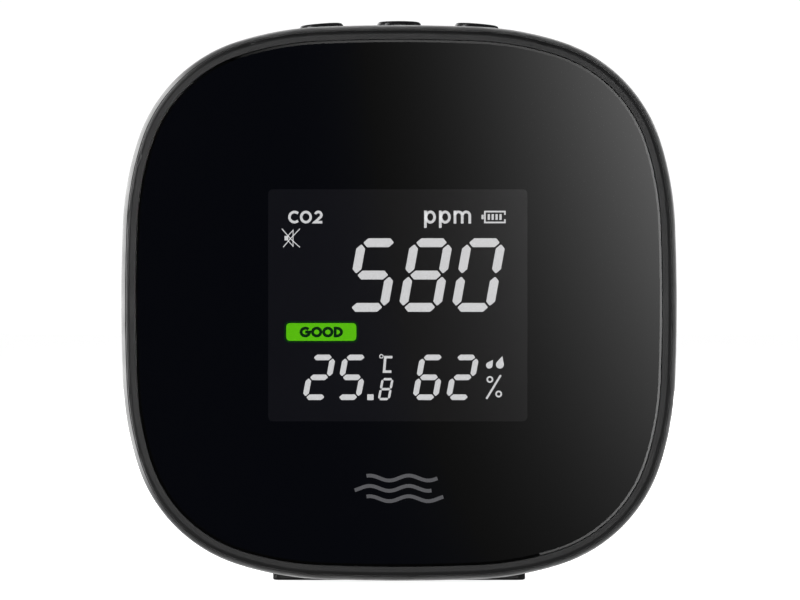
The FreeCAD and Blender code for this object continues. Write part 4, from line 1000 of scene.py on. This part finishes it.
def flat_grid(half):
    """A flat square about the origin."""
    mesh = bmesh.new()
    bmesh.ops.create_grid(mesh, x_segments=2, y_segments=2, size=half)
    return mesh


def floor():
    """Plain pale floor that fades into the white backdrop."""
    surface = Surface("PaleFloor", (0.8, 0.8, 0.8), 0.7, Specular_IOR_Level=0.0)
    surface.relief(surface.noise(1.5 * MM), 0.01 * MM)
    surface.glow(0.93)
    thing = new_object("floor", flat_grid(6.0), surface)
    thing.visible_glossy = False
    thing.visible_transmission = False


def reflection_card():
    """Soft graded panel behind the camera, which only shows as the sheen on the lens."""
    distance = 0.7
    surface = Surface("GradedCard", (0, 0, 0), 1.0, Specular_IOR_Level=0.0)

    def ramp(value, low, high, power):
        risen = surface.math("MAXIMUM", surface.levels(value, low, high, clamp=False), 0)
        return surface.math("POWER", risen, power)

    # A place on the card is seen at a place on the lens that is nearer the middle by this share.
    to_camera = LENS_LOW.y - CAMERA_PLACE.y
    share = to_camera / (2 * to_camera + distance)
    place = surface.add("SeparateXYZ", Vector=surface.place)
    across = surface.math("MULTIPLY", place.outputs["X"], share / MM)
    up = surface.math("MULTIPLY", place.outputs["Y"], -share / MM)
    grade = surface.math("MULTIPLY", ramp(across, -30, 39, 3.6), ramp(up, -80, 24, 1.9))
    light = surface.math("ADD", surface.math("MULTIPLY", grade, CARD_PEAK), CARD_BASE)
    bluish = surface.levels(light, CARD_BASE, 2 * CARD_BASE)
    surface.glow(light, surface.blended(bluish, (0.8, 0.92, 1.45), (1, 1, 1)))
    card = new_object("reflection_card", flat_grid(0.155), surface)
    card.location = (0, CAMERA_PLACE.y - distance, LENS_MIDDLE_Z)
    card.rotation_euler = (math.radians(-90), 0, 0)
    card.visible_camera = False


def edge_strip():
    """Thin curved strip at the right and over the top, which only shows in the lens's bevel."""
    radius, half_width, steps = 0.9, 0.014, 60
    start, end = math.radians(-74), math.radians(114)
    mesh = bmesh.new()
    rows = []
    for step in range(steps + 1):
        angle = start + (end - start) * step / steps
        x, z = radius * math.cos(angle), radius * math.sin(angle)
        rows.append([mesh.verts.new((x, side * half_width, z)) for side in (-1, 1)])
    for (a, b), (c, d) in zip(rows, rows[1:]):
        mesh.faces.new((a, b, d, c))
    surface = Surface("StripLight", (0, 0, 0), 1.0, Specular_IOR_Level=0.0)
    across = surface.add("SeparateXYZ", Vector=surface.place).outputs["X"]
    right = surface.math("MULTIPLY", surface.math("POWER", surface.levels(across, 0, radius), 2.0), 1.1)
    surface.glow(surface.math("ADD", right, surface.levels(across, -0.35, 0.0, 0.0, 0.65)))
    strip = new_object("edge_strip", mesh, surface)
    strip.location = (0, 0.028, LENS_MIDDLE_Z)
    strip.visible_camera = False


def area_light(name, place, size, power, glossy=True):
    """A rectangular light that never shows to the camera or through the lens."""
    light = bpy.data.lights.new(name, "AREA")
    light.shape = "RECTANGLE"
    light.size, light.size_y = size
    light.energy = power
    thing = bpy.data.objects.new(name, light)
    thing.location = place
    thing.rotation_euler = (AIM - Vector(place)).to_track_quat("-Z", "Y").to_euler()
    bpy.context.scene.collection.objects.link(thing)
    thing.visible_camera = False
    thing.visible_transmission = False
    thing.visible_glossy = glossy


def lights():
    """Fills that no reflection shows, so that the lens stays dark, a strip at the left, and two tall
    panels just beside what the lens mirrors, which give the satin bezel its even sheen."""
    area_light("left_strip", (-0.8, -0.24, 0.34), (0.1, 1.0), STRIP_POWER)
    area_light("front_fill", (0.0, -1.4, 0.2), (1.0, 0.8), FRONT_POWER, glossy=False)
    for side in (-1, 1):
        area_light(f"sheen_{side}", (side * 0.25, -1.3, 0.08), (0.16, 0.34), SHEEN_POWER)
    area_light("top_fill", (0.0, 0.3, 1.3), (1.2, 1.2), TOP_POWER, glossy=False)
    area_light("back_fill", (0.3, 1.5, 0.5), (1.2, 0.9), BACK_POWER, glossy=False)
    area_light("left_fill", (-1.4, 0.4, 0.35), (0.9, 0.9), SIDE_POWER, glossy=False)
    area_light("right_fill", (1.4, 0.4, 0.35), (0.9, 0.9), SIDE_POWER, glossy=False)


camera()
world_light()
floor()
reflection_card()
edge_strip()
lights()
dress_nodes(slot_materials())
display_marks()
lens_mask()
air_mark()
button_marks()
hidden_details()
bpy.context.scene.view_settings.view_transform = "Standard"
